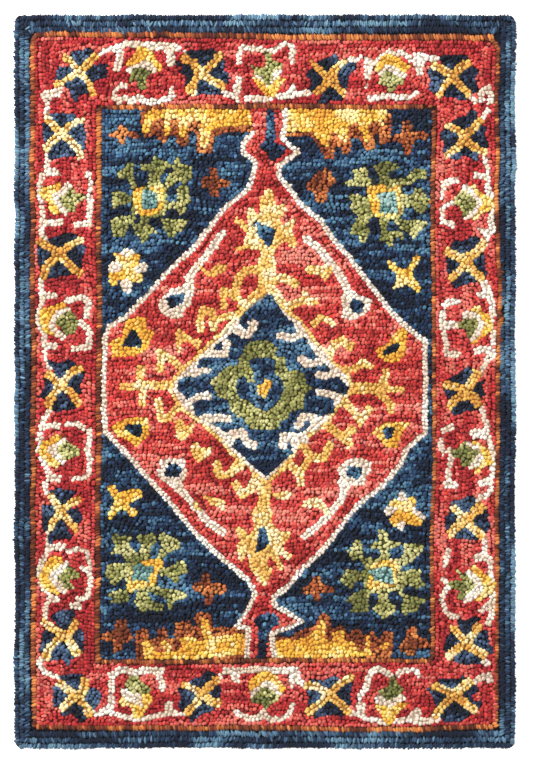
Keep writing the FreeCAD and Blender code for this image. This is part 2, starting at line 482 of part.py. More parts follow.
def vine_right():
    """The pale vine down the right side."""
    return [
        line(6, (271, 330), (264, 320)), line(5, (266, 275), (268, 267), (271, 256)),
        patch((252, 246), (254, 256), (274, 252), (272, 246)), line(5, (271, 248), (271, 232)),
        line(6, (219, 242), (226, 244), (233, 245)), line(4, (217, 237), (216, 225)),
        patch((230, 221), (222, 219), (215, 214), (216, 208), (222, 212), (230, 213)),
        line(5, (216, 210), (217, 194)),
        patch((216, 196), (228, 196), (234, 190), (230, 185), (221, 189)),
        line(5, (272, 231), (282, 222), (283, 214), (277, 206), (275, 198)),
        line(6, (274, 195), (277, 185)),
        patch((256, 187), (262, 188), (279, 183), (275, 175), (270, 171), (266, 174), (268, 178)),
        line(5, (265, 128), (265, 119)), line(8, (267, 118), (272, 107)),
        patch((256, 105), (258, 109), (272, 109), (266, 100), (259, 101)),
        line(6, (274, 102), (277, 88), (277, 76)), line(6, (219, 93), (223, 97), (233, 97)),
        line(6, (216, 83), (216, 78)), line(8, (217, 70), (231, 69)),
        line(5, (217, 64), (220, 46), (220, 34)),
        line(6, (225, 33), (234, 33)), line(5, (278, 60), (277, 46)),
        line(7, (258, 37), (266, 39), (276, 36)),
        patch((271, 27), (274, 38), (281, 36), (282, 29), (275, 25)),
        line(5, (271, 27), (264, 14), (262, 9)),
        line(5, (263, -31), (267, -37), (267, -46), (271, -52), (270, -58)),
        patch((247, -62), (252, -58), (272, -58), (273, -66), (269, -69), (254, -69)),
        line(5, (272, -68), (276, -84), (279, -95), (276, -106), (276, -114)),
        patch((256, -121), (276, -112), (276, -121), (268, -126), (260, -127)),
        line(5, (274, -120), (275, -132), (269, -138)), line(6, (263, -139), (258, -147)),
        line(7, (219, -59), (226, -56)), line(5, (215, -71), (215, -81)), line(5, (218, -87), (226, -83)),
        line(5, (227, -92), (225, -99), (222, -108), (223, -120)), line(7, (221, -126), (230, -127)),
        line(5, (266, -184), (268, -195), (267, -206)),
        patch((251, -213), (260, -207), (270, -209), (277, -213), (274, -218), (254, -216)),
        line(5, (274, -220), (274, -233), (276, -241), (283, -246), (281, -253), (276, -258),
              (277, -266)),
        patch((257, -280), (264, -272), (274, -264), (280, -266), (281, -276), (272, -278)),
        line(6, (276, -280), (272, -293)), line(5, (223, -206), (221, -213), (218, -222)),
        line(5, (217, -240), (224, -247), (217, -258), (215, -264)),
        line(5, (217, -271), (220, -279), (226, -285), (233, -284)), line(6, (264, -337), (270, -342)),
        line(6, (253, -367), (262, -361), (270, -357)),
        patch((268, -354), (276, -353), (279, -366), (271, -368)),
    ]


def vine_bottom():
    """The pale vine along the bottom."""
    return [
        line(7, (-208, -402), (-196, -401), (-187, -393), (-186, -384)),
        line(6, (-186, -373), (-186, -360)),
        line(7, (-184, -356), (-176, -350), (-166, -351), (-160, -355), (-150, -351), (-126, -351)),
        line(5, (-186, -402), (-168, -408), (-156, -410), (-142, -409), (-130, -406), (-118, -404)),
        line(6, (-129, -357), (-126, -366), (-125, -374)),
        patch((-123, -391), (-110, -388), (-113, -397), (-104, -402), (-94, -402), (-95, -407),
              (-120, -407)),
        patch((-58, -362), (-56, -355), (-50, -356), (-52, -365), (-57, -370)),
        line(6, (-46, -352), (-24, -352), (-12, -350), (0, -350), (14, -352), (36, -352)),
        patch((-41, -352), (-30, -354), (-31, -368), (-38, -367), (-41, -362)),
        patch((29, -347), (42, -347), (44, -359), (50, -369), (46, -374), (38, -364), (34, -374),
              (30, -369)),
        line(5, (-36, -402), (-28, -406), (-22, -410), (-8, -408), (-2, -401)),
        line(5, (-3, -405), (8, -411), (18, -411), (28, -407), (32, -400), (34, -393)),
        patch((97, -399), (104, -399), (112, -402), (118, -408), (100, -407)),
        line(6, (124, -373), (126, -360), (131, -351), (140, -349), (146, -353), (152, -357)),
        line(5, (162, -356), (166, -351), (184, -351), (187, -357)), line(5, (116, -383), (120, -377)),
        patch((110, -391), (118, -388), (123, -392), (121, -404), (112, -402)),
        line(5, (114, -405), (126, -410), (136, -411), (147, -415)), line(5, (157, -413), (174, -410)),
        patch((173, -408), (178, -400), (184, -396), (190, -397), (190, -415), (181, -415)),
        line(6, (188, -412), (200, -412), (211, -409)),
    ]


def comb_rust():
    """The rust surrounds of the four toothed combs."""
    return [
        patch((-151, 327), (-143, 332), (-14, 332), (-12, 303), (-20, 304), (-48, 304), (-60, 299),
              (-64, 277), (-83, 278), (-83, 303), (-92, 305), (-93, 286), (-106, 287), (-109, 300),
              (-116, 298), (-122, 290), (-129, 294), (-133, 301), (-145, 297), (-151, 304)),
        patch((21, 332), (148, 331), (154, 324), (152, 290), (140, 287), (138, 302), (134, 300),
              (134, 282), (124, 281), (114, 296), (106, 298), (105, 278), (95, 277), (92, 286),
              (84, 284), (84, 271), (72, 271), (66, 284), (56, 299), (21, 299)),
        patch((-158, -338), (-157, -302), (-142, -299), (-140, -312), (-132, -312), (-130, -299),
              (-119, -299), (-118, -311), (-110, -312), (-110, -292), (-90, -292), (-88, -299),
              (-81, -299), (-86, -286), (-80, -280), (-66, -281), (-62, -299), (-21, -299), (-21, -338)),
        patch((13, -338), (13, -308), (28, -310), (42, -303), (58, -298), (68, -284), (78, -284),
              (81, -300), (90, -297), (99, -299), (101, -308), (106, -301), (116, -301), (117, -308),
              (130, -303), (138, -315), (143, -304), (156, -303), (155, -330), (150, -338)),
    ]


def comb_gold():
    """The gold bars and teeth of the four combs."""
    return [
        patch((-145, 325), (-138, 331), (-15, 331), (-14, 311), (-50, 311), (-65, 306), (-70, 284),
              (-78, 284), (-78, 317), (-92, 316), (-96, 309), (-97, 297), (-105, 297), (-105, 320),
              (-116, 320), (-116, 300), (-123, 296), (-122, 320), (-134, 320), (-142, 301), (-150, 303)),
        patch((24, 331), (120, 331), (124, 335), (130, 331), (140, 333), (148, 330), (149, 324),
              (143, 318), (145, 308), (138, 315), (130, 318), (126, 310), (127, 289), (121, 291),
              (120, 303), (114, 304), (115, 316), (102, 309), (101, 291), (94, 292), (82, 306),
              (76, 285), (72, 287), (58, 305), (24, 305)),
        patch((-150, -317), (-146, -312), (-140, -316), (-132, -329), (-119, -328), (-106, -327),
              (-101, -322), (-104, -311), (-84, -311), (-81, -316), (-72, -314), (-78, -305),
              (-78, -289), (-69, -289), (-66, -310), (-23, -307), (-23, -332), (-90, -337),
              (-122, -338), (-136, -336), (-146, -344)),
        line(6, (-123, -317), (-118, -323)),
        patch((13, -315), (40, -313), (57, -308), (66, -296), (70, -289), (74, -294), (72, -312),
              (81, -316), (82, -306), (94, -301), (97, -314), (109, -318), (111, -327), (121, -327),
              (121, -311), (127, -311), (128, -328), (133, -333), (60, -336), (24, -338), (13, -336)),
        patch((140, -322), (146, -316), (151, -316), (148, -326), (143, -328)),
    ]


def small_crosses():
    """The eight small rust crosses that stand in the field."""
    return [
        patch((-192, 302), (-180, 305), (-179, 312), (-169, 312), (-167, 307), (-155, 303), (-151, 298),
              (-158, 295), (-168, 300), (-171, 287), (-176, 287), (-180, 297), (-191, 297)),
        patch((154, 293), (157, 300), (166, 302), (167, 314), (171, 319), (177, 315), (180, 304),
              (198, 303), (197, 293), (181, 294), (176, 276), (169, 276), (166, 289)),
        patch((-182, -297), (-178, -289), (-168, -289), (-166, -298), (-160, -309), (-162, -315),
              (-172, -318), (-175, -328), (-184, -331), (-184, -315), (-197, -315), (-198, -308),
              (-182, -302)),
        patch((175, -299), (185, -299), (187, -310), (200, -315), (199, -324), (188, -323), (182, -333),
              (174, -333), (172, -329), (163, -329), (164, -320), (172, -312)),
        patch((-68, 262), (-58, 260), (-57, 247), (-42, 245), (-42, 237), (-56, 236), (-56, 224),
              (-66, 224), (-68, 235), (-78, 236), (-78, 249), (-68, 249)),
        patch((48, 240), (56, 246), (61, 255), (71, 256), (72, 262), (80, 255), (82, 250), (89, 244),
              (79, 237), (72, 218), (60, 219), (59, 232), (51, 233)),
        patch((-75, -233), (-70, -230), (-66, -236), (-66, -244), (-50, -246), (-46, -252), (-52, -259),
              (-63, -257), (-63, -271), (-73, -271), (-73, -258), (-88, -253), (-88, -245), (-77, -243)),
        patch((59, -236), (66, -235), (68, -245), (89, -254), (84, -258), (66, -258), (69, -268),
              (64, -270), (56, -259), (43, -258), (45, -252), (56, -246)),
    ]


def rosette_petals():
    """The eight green petals around each rosette."""
    return [
        # top left
        patch((-162, 233), (-162, 203), (-142, 198), (-120, 202), (-118, 238), (-130, 242), (-150, 238)),
        patch((-142, 238), (-139, 262), (-137, 270), (-133, 275), (-127, 269), (-118, 268), (-113, 262),
              (-121, 260), (-128, 248), (-124, 238)), line(6, (-147, 260), (-138, 260)),
        patch((-119, 250), (-112, 256), (-112, 265), (-108, 274), (-102, 272), (-103, 265), (-88, 262),
              (-90, 244), (-98, 241), (-105, 245), (-116, 236), (-124, 236)),
        patch((-107, 236), (-99, 240), (-91, 236), (-94, 228), (-88, 218), (-97, 214), (-94, 207),
              (-101, 203), (-107, 204), (-105, 210), (-124, 208), (-123, 218), (-107, 219)),
        patch((-129, 202), (-118, 198), (-92, 197), (-100, 182), (-108, 183), (-108, 175), (-116, 175),
              (-122, 186)),
        patch((-160, 191), (-160, 183), (-150, 168), (-145, 169), (-139, 180), (-129, 180), (-136, 188),
              (-143, 191), (-138, 202), (-150, 202), (-152, 193)),
        patch((-187, 197), (-180, 200), (-158, 204), (-157, 195), (-167, 189), (-170, 174), (-184, 176),
              (-186, 184)),
        patch((-187, 231), (-180, 233), (-158, 222), (-163, 217), (-176, 214), (-184, 208), (-187, 219)),
        patch((-180, 247), (-179, 255), (-168, 261), (-167, 267), (-159, 266), (-160, 247), (-155, 236),
              (-163, 234), (-167, 246)),
        # top right
        patch((122, 238), (128, 200), (160, 196), (169, 204), (167, 240), (145, 243)),
        patch((106, 258), (121, 262), (126, 258), (126, 248), (134, 246), (128, 236), (112, 237),
              (103, 236), (97, 242), (107, 245), (110, 251)),
        patch((132, 261), (146, 268), (160, 265), (165, 260), (152, 255), (151, 246), (165, 248),
              (172, 240), (150, 238), (140, 241), (138, 252)),
        patch((165, 242), (172, 250), (180, 260), (196, 258), (197, 247), (184, 247), (174, 238)),
        patch((165, 230), (178, 227), (182, 236), (189, 236), (200, 222), (195, 208), (189, 204),
              (178, 213), (165, 212)),
        patch((160, 202), (170, 196), (190, 197), (200, 191), (190, 186), (180, 174), (172, 182),
              (165, 186), (156, 196)),
        patch((138, 200), (152, 199), (149, 183), (166, 183), (168, 172), (156, 176), (156, 162),
              (150, 162), (146, 170), (136, 170), (142, 180)),
        patch((112, 199), (130, 202), (126, 190), (128, 183), (122, 168), (115, 169), (113, 179),
              (103, 178), (105, 189)),
        patch((101, 228), (107, 229), (122, 224), (130, 230), (130, 200), (112, 200), (101, 213),
              (109, 218), (103, 222)),
        # bottom left
        patch((-166, -218), (-126, -214), (-130, -236), (-132, -252), (-168, -256), (-170, -240)),
        patch((-188, -185), (-181, -183), (-176, -188), (-162, -186), (-165, -199), (-153, -209),
              (-150, -220), (-163, -224), (-174, -209), (-187, -210), (-182, -198)),
        patch((-157, -187), (-134, -184), (-131, -197), (-140, -201), (-138, -217), (-152, -219),
              (-150, -199)),
        patch((-130, -188), (-125, -183), (-103, -194), (-102, -204), (-118, -208), (-126, -219),
              (-131, -214), (-126, -198)),
        patch((-118, -226), (-108, -222), (-108, -217), (-100, -217), (-94, -228), (-94, -234),
              (-107, -236), (-102, -242), (-110, -246), (-116, -239), (-132, -234), (-132, -228)),
        patch((-136, -243), (-128, -250), (-106, -252), (-93, -258), (-95, -264), (-111, -265),
              (-112, -276), (-119, -276), (-120, -264), (-134, -258), (-144, -252)),
        patch((-153, -249), (-143, -250), (-141, -265), (-123, -271), (-124, -278), (-142, -278),
              (-148, -282), (-160, -269)),
        patch((-190, -256), (-172, -252), (-166, -256), (-165, -268), (-186, -269)),
        patch((-190, -221), (-160, -220), (-160, -240), (-172, -238), (-183, -249), (-195, -234)),
        # bottom right
        patch((120, -214), (165, -215), (166, -252), (150, -257), (120, -256)),
        patch((97, -204), (105, -206), (110, -192), (115, -191), (120, -204), (118, -212), (130, -216),
              (124, -228), (114, -215), (107, -217)),
        patch((138, -180), (150, -182), (149, -194), (165, -195), (165, -200), (150, -205), (153, -218),
              (138, -219), (141, -204), (126, -203), (128, -198), (140, -195)),
        patch((168, -197), (190, -196), (194, -204), (182, -216), (170, -225), (160, -218), (169, -209)),
        patch((162, -232), (190, -226), (190, -240), (195, -247), (186, -252), (172, -246), (167, -256),
              (160, -250)),
        patch((158, -252), (172, -259), (196, -263), (195, -269), (188, -271), (188, -280), (174, -281),
              (171, -287), (165, -277), (168, -264)),
        patch((136, -253), (150, -253), (150, -264), (162, -278), (143, -289), (130, -277), (138, -266)),
        patch((98, -268), (108, -257), (122, -252), (131, -254), (127, -264), (126, -280), (104, -282),
              (110, -271)),
        patch((97, -232), (99, -227), (124, -230), (124, -240), (112, -241), (106, -252), (92, -245),
              (92, -239)),
    ]


def rosette_rings():
    """The gold ring inside each rosette."""
    return [
        patch((-161, 231), (-151, 236), (-142, 232), (-139, 237), (-123, 240), (-123, 214), (-129, 205),
              (-140, 201), (-157, 203), (-160, 214)),
        patch((124, 237), (136, 238), (143, 241), (150, 236), (165, 240), (165, 205), (158, 198),
              (133, 201), (129, 212)),
        patch((-150, -218), (-140, -216), (-125, -217), (-123, -223), (-130, -231), (-134, -249),
              (-157, -251), (-162, -258), (-169, -252), (-163, -229)),
        patch((127, -222), (140, -219), (155, -216), (163, -222), (160, -232), (161, -248), (134, -254),
              (124, -251)),
    ]


def rosette_hearts():
    """The teal heart of each rosette."""
    return [
        patch((-150, 231), (-144, 234), (-134, 231), (-130, 226), (-131, 210), (-150, 209)),
        patch((134, 229), (148, 231), (158, 231), (161, 216), (163, 204), (139, 204), (141, 220)),
        patch((-158, -222), (-150, -220), (-146, -225), (-135, -224), (-136, -232), (-142, -238),
              (-138, -248), (-145, -242), (-163, -241)),
        patch((124, -230), (144, -225), (153, -225), (158, -247), (132, -243), (130, -235)),
    ]


def star_gold():
    """The gold star in each corner of the field."""
    return [
        patch((-189, 158), (-176, 156), (-158, 158), (-151, 151), (-154, 144), (-148, 124), (-154, 120),
              (-176, 124), (-185, 115), (-190, 118), (-190, 133), (-182, 142), (-181, 153)),
        patch((146, 146), (151, 148), (168, 136), (175, 142), (183, 158), (190, 151), (178, 132),
              (190, 113), (186, 109), (169, 119), (154, 111), (160, 128)),
        patch((-194, -126), (-184, -125), (-178, -134), (-158, -129), (-152, -131), (-149, -140),
              (-168, -149), (-153, -156), (-157, -163), (-164, -163), (-174, -153), (-188, -169),
              (-191, -163), (-182, -144)),
        patch((151, -144), (172, -142), (184, -139), (183, -152), (193, -173), (186, -177), (168, -170),
              (160, -177), (150, -172), (158, -158)),
    ]


def star_ivory():
    """The pale points of two of the stars."""
    return [
        patch((-178, 155), (-170, 163), (-163, 161), (-160, 155), (-168, 151)),
        patch((-191, 142), (-182, 146), (-172, 140), (-178, 132), (-190, 133)),
        patch((-163, 138), (-148, 146), (-142, 142), (-146, 133), (-156, 132)),
        patch((-177, 121), (-170, 127), (-162, 122), (-163, 107), (-168, 107), (-176, 112)),
        patch((162, -137), (166, -131), (175, -142), (170, -147), (163, -145)),
        patch((144, -154), (152, -151), (161, -154), (158, -160), (148, -163)),
        patch((178, -151), (197, -164), (194, -169), (180, -161)),
        patch((160, -176), (166, -168), (171, -171), (168, -183), (163, -181)),
    ]


MEDALLION_LEFT = (
    (-19, 331), (-14, 302), (-27, 290), (-27, 279), (-11, 266), (-16, 246), (-22, 232), (-50, 210),
    (-62, 194), (-88, 162), (-120, 131), (-166, 81), (-190, 66), (-194, 55), (-196, 0), (-194, -62),
    (-163, -94), (-138, -122), (-98, -168), (-60, -208), (-20, -242), (-11, -258), (-20, -276),
    (-35, -297), (-21, -300), (-21, -337))

MEDALLION_RIGHT = (
    (24, 331), (24, 308), (20, 298), (30, 287), (40, 279), (19, 263), (16, 250), (28, 236), (42, 217),
    (68, 196), (84, 172), (102, 152), (116, 132), (134, 110), (154, 84), (180, 60), (195, 48), (194, 30),
    (196, 5), (194, -45), (195, -62), (172, -82), (166, -100), (142, -128), (112, -152), (94, -176),
    (64, -210), (46, -226), (30, -247), (11, -262), (12, -272), (32, -283), (46, -291), (24, -300),
    (8, -306), (12, -337))


def medallion_ground():
    """The red ground of the long medallion, from comb to comb."""
    return [patch(*(MEDALLION_LEFT + MEDALLION_RIGHT[::-1]))]


def medallion_outline():
    """The pale line that closes the medallion on both sides, below the comb at the top left."""
    return [line(5, *MEDALLION_LEFT[1:]), line(5, *MEDALLION_RIGHT)]


def medallion_hooks():
    """The pale inner lines of the medallion, each ending in an eye."""
    return [
        line(8, (-52, 179), (-58, 172), (-64, 162), (-84, 139), (-93, 126)),
        patch((-129, 98), (-120, 107), (-113, 113), (-100, 116), (-95, 128), (-87, 126), (-87, 108),
              (-90, 94), (-99, 85), (-100, 77), (-113, 76), (-123, 80), (-128, 88)),
        line(8, (51, 173), (62, 166), (80, 145), (92, 128), (99, 113)),
        patch((92, 103), (98, 112), (106, 111), (117, 104), (131, 100), (126, 86), (120, 80), (106, 73),
              (92, 77), (94, 84)),
        patch((-131, -95), (-122, -93), (-97, -93), (-95, -114), (-101, -122), (-94, -138), (-106, -136),
              (-128, -118), (-133, -107), (-126, -104)),
        line(8, (-102, -130), (-92, -142), (-68, -171), (-52, -183)),
        patch((97, -96), (110, -92), (124, -93), (131, -99), (128, -111), (121, -127), (106, -127),
              (96, -136), (88, -123), (92, -115), (88, -107)),
        line(7, (98, -130), (94, -144), (76, -164), (60, -178), (48, -188)),
    ]


def medallion_eyes():
    """The dark eyes of the medallion."""
    return [
        patch((-119, 103), (-98, 106), (-99, 96), (-113, 88), (-119, 93)),
        patch((103, 97), (109, 101), (122, 94), (114, 82), (104, 85)),
        patch((-118, -98), (-106, -100), (-101, -105), (-105, -115), (-120, -115), (-126, -111),
              (-119, -106)),
        patch((102, -103), (120, -103), (116, -118), (99, -114)),
    ]


def triangle_gold():
    """The gold triangle at each shoulder of the medallion."""
    return [
        patch((-172, 66), (-164, 76), (-150, 80), (-142, 74), (-145, 65), (-133, 61), (-139, 50),
              (-144, 36), (-158, 30), (-185, 29), (-187, 48), (-173, 54)),
        patch((158, 60), (166, 66), (173, 62), (171, 36), (162, 24), (150, 24), (136, 34), (137, 42),
              (149, 47)),
        patch((-187, -56), (-182, -50), (-164, -44), (-142, -43), (-141, -66), (-156, -80), (-168, -70),
              (-180, -66)),
        patch((133, -62), (134, -56), (148, -49), (178, -49), (166, -63), (162, -80), (147, -80),
              (142, -71)),
    ]


def triangle_hearts():
    """The dark heart of each shoulder triangle."""
    return [
        patch((-174, 41), (-163, 62), (-160, 66), (-150, 51), (-149, 41)),
        patch((144, 36), (147, 43), (164, 48), (163, 37), (147, 33)),
        patch((-175, -53), (-149, -52), (-150, -64), (-156, -69), (-166, -60)),
        patch((143, -56), (158, -55), (154, -69), (147, -69)),
    ]


def branches():
    """The gold branches that grow from the middle of the medallion."""
    return [
        # the tree above
        patch((6, 236), (10, 231), (13, 215), (24, 216), (27, 209), (17, 197), (22, 191), (36, 201),
              (39, 198), (32, 185), (36, 176), (40, 162), (35, 161), (24, 171), (12, 159), (10, 150),
              (-8, 150), (-4, 158), (-22, 162), (-34, 157), (-37, 163), (-27, 165), (-22, 180),
              (-39, 195), (-35, 201), (-21, 190), (-22, 210), (-13, 213), (-10, 204), (-6, 203),
              (-6, 218), (0, 232)),
        patch((-9, 152), (12, 152), (14, 128), (12, 108), (-6, 108), (-9, 130)),
        line(9, (-6, 136), (-24, 134), (-33, 124), (-35, 112)), line(9, (8, 126), (26, 124), (36, 119)),
        line(9, (-4, 120), (-6, 108), (-24, 94)), line(9, (6, 114), (16, 104), (24, 92)),
        # the tree below
        patch((-9, -116), (9, -116), (6, -150), (10, -160), (8, -170), (18, -182), (30, -182), (31, -188),
              (20, -200), (34, -213), (28, -217), (14, -207), (25, -228), (19, -230), (6, -211),
              (3, -224), (10, -226), (3, -249), (-3, -248), (-19, -227), (-21, -205), (-27, -219),
              (-33, -217), (-35, -203), (-31, -192), (-38, -178), (-28, -176), (-20, -187), (-12, -177),
              (-17, -160), (-8, -150)),
        # around the diamond, clockwise from the top
        line(8, (26, 90), (38, 95), (48, 99)), line(7, (49, 106), (50, 97), (60, 97)),
        patch((48, 138), (54, 142), (70, 141), (82, 141), (82, 132), (74, 122), (67, 129), (52, 130)),
        line(6, (60, 70), (68, 78), (76, 74), (82, 69)),
        line(9, (78, 34), (85, 46), (93, 50), (103, 44)),
        line(8, (96, 12), (110, 16), (120, 24)), line(6, (120, 24), (129, 19)),
        line(12, (100, -8), (140, -8)), line(7, (140, -8), (165, -9)), line(8, (142, -4), (147, 12)),
        line(8, (140, -17), (152, -26), (153, -35)),
        line(9, (96, -22), (107, -34), (117, -47), (126, -34)),
        line(9, (76, -52), (86, -60), (96, -68), (107, -58)), line(8, (98, -68), (103, -75)),
        line(9, (58, -92), (72, -92), (79, -77)), line(8, (48, -80), (57, -92)),
        line(8, (30, -98), (42, -112), (44, -122)), line(7, (44, -110), (51, -98)),
        patch((9, -136), (24, -133), (38, -134), (30, -140), (24, -144), (13, -143)),
        line(9, (-12, -118), (-18, -132), (-28, -138), (-35, -126)),
        patch((-63, -97), (-55, -94), (-50, -112), (-44, -106), (-34, -90), (-20, -100), (-40, -116),
              (-56, -120), (-63, -112)),
        patch((-90, -76), (-82, -74), (-76, -82), (-62, -78), (-66, -90), (-80, -98), (-88, -90)),
        patch((-112, -46), (-101, -44), (-96, -56), (-84, -46), (-88, -64), (-100, -73), (-107, -70)),
        line(8, (-130, -24), (-127, -44), (-120, -44), (-104, -28)),
        line(9, (-112, -4), (-152, -4), (-150, 14)), line(7, (-150, -6), (-172, -6)),
        line(7, (-148, -8), (-149, -26)),
        line(7, (-100, 16), (-114, 28), (-128, 37)), line(8, (-126, 32), (-128, 16)),
        patch((-109, 62), (-103, 64), (-90, 54), (-76, 50), (-82, 38), (-88, 46), (-100, 50), (-102, 36),
              (-107, 35)),
        line(8, (-62, 66), (-64, 84), (-75, 86), (-79, 74), (-78, 64)), line(7, (-56, 76), (-34, 82)),
        line(9, (-26, 90), (-36, 104), (-50, 110)), line(6, (-52, 106), (-50, 90)),
        patch((-82, 144), (-68, 134), (-60, 142), (-44, 142), (-46, 136), (-60, 127), (-72, 127)),
        patch((-80, -133), (-66, -140), (-50, -144), (-50, -158), (-64, -150), (-74, -141)),
        patch((-88, -148), (-82, -142), (-76, -158), (-84, -154)),
        patch((46, -144), (62, -140), (70, -144), (81, -158), (76, -164), (66, -153), (44, -152)),
    ]


def tree_hearts():
    """The dark hearts of the two gold trees."""
    return [
        patch((-11, 181), (-2, 191), (14, 185), (7, 164), (1, 165)), line(5, (-10, 192), (-8, 190)),
        patch((-7, -179), (0, -176), (3, -188), (6, -195), (0, -203), (-12, -210), (-9, -194)),
    ]


def diamond_edge():
    """The gold edge of the middle diamond."""
    return [patch(
        (5, 112), (24, 92), (44, 78), (62, 51), (82, 27), (103, 14), (110, -10), (90, -32), (80, -50),
        (54, -68), (40, -84), (30, -104), (4, -124), (-10, -122), (-22, -103), (-42, -90), (-54, -76),
        (-78, -52), (-102, -36), (-118, -12), (-113, 5), (-88, 30), (-66, 52), (-32, 82), (-14, 101))]


def diamond_line():
    """The pale line inside the diamond's edge."""
    return [patch(
        (6, 109), (20, 90), (42, 74), (58, 48), (80, 24), (99, 10), (105, -10), (86, -30), (77, -46),
        (52, -62), (38, -82), (24, -100), (2, -120), (-14, -108), (-26, -96), (-42, -84), (-54, -68),
        (-78, -46), (-98, -33), (-113, -8), (-107, 6), (-82, 28), (-62, 48), (-30, 78), (-14, 96))]


def diamond_ground():
    """The dark ground of the diamond."""
    return [patch(
        (6, 106), (19, 88), (36, 70), (39, 60), (48, 57), (58, 36), (66, 28), (80, 14), (96, 1),
        (103, -8), (96, -18), (83, -22), (85, -36), (62, -44), (50, -57), (38, -68), (30, -74),
        (33, -86), (18, -101), (2, -115), (-12, -104), (-24, -92), (-40, -82), (-36, -66), (-46, -63),
        (-66, -50), (-84, -42), (-88, -30), (-97, -20), (-107, -6), (-105, 3), (-84, 10), (-80, 26),
        (-66, 36), (-60, 46), (-38, 60), (-31, 70), (-24, 84), (-12, 94))]


def diamond_hooks():
    """The pale hooks that reach into the diamond."""
    return [
        line(8, (42, 66), (44, 58), (34, 52), (19, 56)), line(8, (70, 30), (66, 24), (52, 21), (45, 27)),
        line(7, (88, 10), (76, 7), (66, 8)), line(7, (90, -18), (74, -14), (66, -13)),
        line(8, (62, -54), (60, -44), (46, -42), (40, -54)),
        line(9, (48, -70), (32, -68), (22, -67), (21, -77)),
        line(9, (-46, -72), (-40, -64), (-28, -62), (-22, -74), (-14, -76)),
        line(8, (-74, -45), (-56, -44), (-44, -45)), line(7, (-94, -26), (-80, -18), (-69, -18)),
        line(6, (-86, 8), (-76, 14), (-70, 13)), line(8, (-66, 34), (-50, 34), (-47, 47)),
        line(9, (-36, 66), (-26, 58), (-20, 58), (-14, 70)),
    ]


def wreath():
    """The green wreath in the middle of the diamond."""
    return [patch(
        (-25, 44), (-18, 49), (-2, 51), (6, 50), (16, 40), (13, 31), (26, 31), (25, 19), (32, 14),
        (46, 14), (51, 4), (52, -3), (60, -6), (48, -18), (46, -32), (30, -37), (27, -47), (18, -48),
        (15, -58), (-18, -58), (-22, -50), (-31, -44), (-43, -34), (-43, -23), (-60, -17), (-59, -10),
        (-69, -2), (-57, 8), (-44, 20), (-29, 20), (-34, 30), (-27, 34))]


def wreath_heart():
    """The blue heart of the wreath."""
    return [patch(
        (-18, 28), (0, 30), (13, 27), (12, 12), (22, 2), (23, -10), (16, -24), (3, -36), (-14, -29),
        (-20, -22), (-30, -20), (-36, -6), (-30, 7), (-22, 6), (-21, -1), (-12, -1), (-12, 6), (-18, 20))]


def flame():
    """The gold flame at the very middle."""
    return [patch((-1, 5), (10, 1), (4, -12), (2, -20), (-10, -16), (-9, -4), (-1, -2))]


def neck_arrows():
    """The dark arrows in the two necks of the medallion."""
    return [
        patch((1, 331), (11, 331), (12, 290), (27, 284), (20, 272), (8, 267), (0, 280), (-8, 283),
              (0, 292)),
        patch((-9, -337), (2, -337), (3, -304), (16, -294), (18, -286), (10, -281), (-8, -284),
              (-15, -291), (-8, -302)),
    ]


def field_halves(field, medallion):
    """The dark field beside the medallion, parted down the rug's middle line."""
    rest = field.cut(medallion)
    x = RUG_WIDTH / 2.0
    y = RUG_LENGTH / 2.0
    halves = []
    for outer in (-x, x):
        ring = ((outer, -y), (0.0, -y), (0.0, y), (outer, y))
        points = [FreeCAD.Vector(px, py, 0.0) for px, py in ring]
        halves.append(rest.common(Part.Face(Part.makePolygon(points + points[:1]))))
    return halves


def layered(layers, window):
    """Each named layer's patches, less the layers drawn over it, kept inside the window."""
    seen = {}
    for index, (name, patches) in enumerate(layers):
        above = [face for _, later in layers[index + 1:] for face in later]
        whole = joined(patches)
        inside = [face.common(window) for face in whole.Faces]
        bare = [cleared(shape, above) for shape in inside if shape.Faces]
        seen[name] = Part.makeCompound([face for shape in bare for face in faces_of(shape)])
    return seen


def ground_left(window, layers):
    """The part of a window that no drawn patch covers."""
    drawn = [face for _, patches in layers for face in patches]
    return cleared(window, drawn)


def border_layers():
    """The border's drawing, lowest layer first."""
    return [
        ("border_vine", vine_top() + vine_left() + vine_right() + vine_bottom()),
        ("cross_petals", cross_petals()),
        ("cross_arms", cross_arms()),
        ("blossom_gold", blossom_gold()),
        ("blossom_ivory", blossom_ivory()),
        ("blossom_green", blossom_green()),
    ]


def field_layers():
    """The field's drawing, lowest layer first."""
    return [
        ("comb_rust", comb_rust()),
        ("comb_gold", comb_gold()),
        ("small_crosses", small_crosses()),
        ("rosette_petals", rosette_petals()),
        ("rosette_rings", rosette_rings()),
        ("rosette_hearts", rosette_hearts()),
        ("star_gold", star_gold()),
        ("star_ivory", star_ivory()),
        ("medallion_ground", medallion_ground()),
        ("medallion_outline", medallion_outline()),
        ("medallion_hooks", medallion_hooks()),
        ("medallion_eyes", medallion_eyes()),
        ("triangle_gold", triangle_gold()),
        ("triangle_hearts", triangle_hearts()),
        ("branches", branches()),
        ("tree_hearts", tree_hearts()),
        ("diamond_edge", diamond_edge()),
        ("diamond_line", diamond_line()),
        ("diamond_ground", diamond_ground()),
        ("diamond_hooks", diamond_hooks()),
        ("diamond_wreath", wreath()),
        ("wreath_heart", wreath_heart()),
        ("diamond_flame", flame()),
        ("neck_arrows", neck_arrows()),
    ]


def sides_of(name, flat_shape):
    """One band parted into its four mitred sides."""
    windows = side_windows()
    return {name + "_" + side: flat_shape.common(windows[side]) for side in windows}


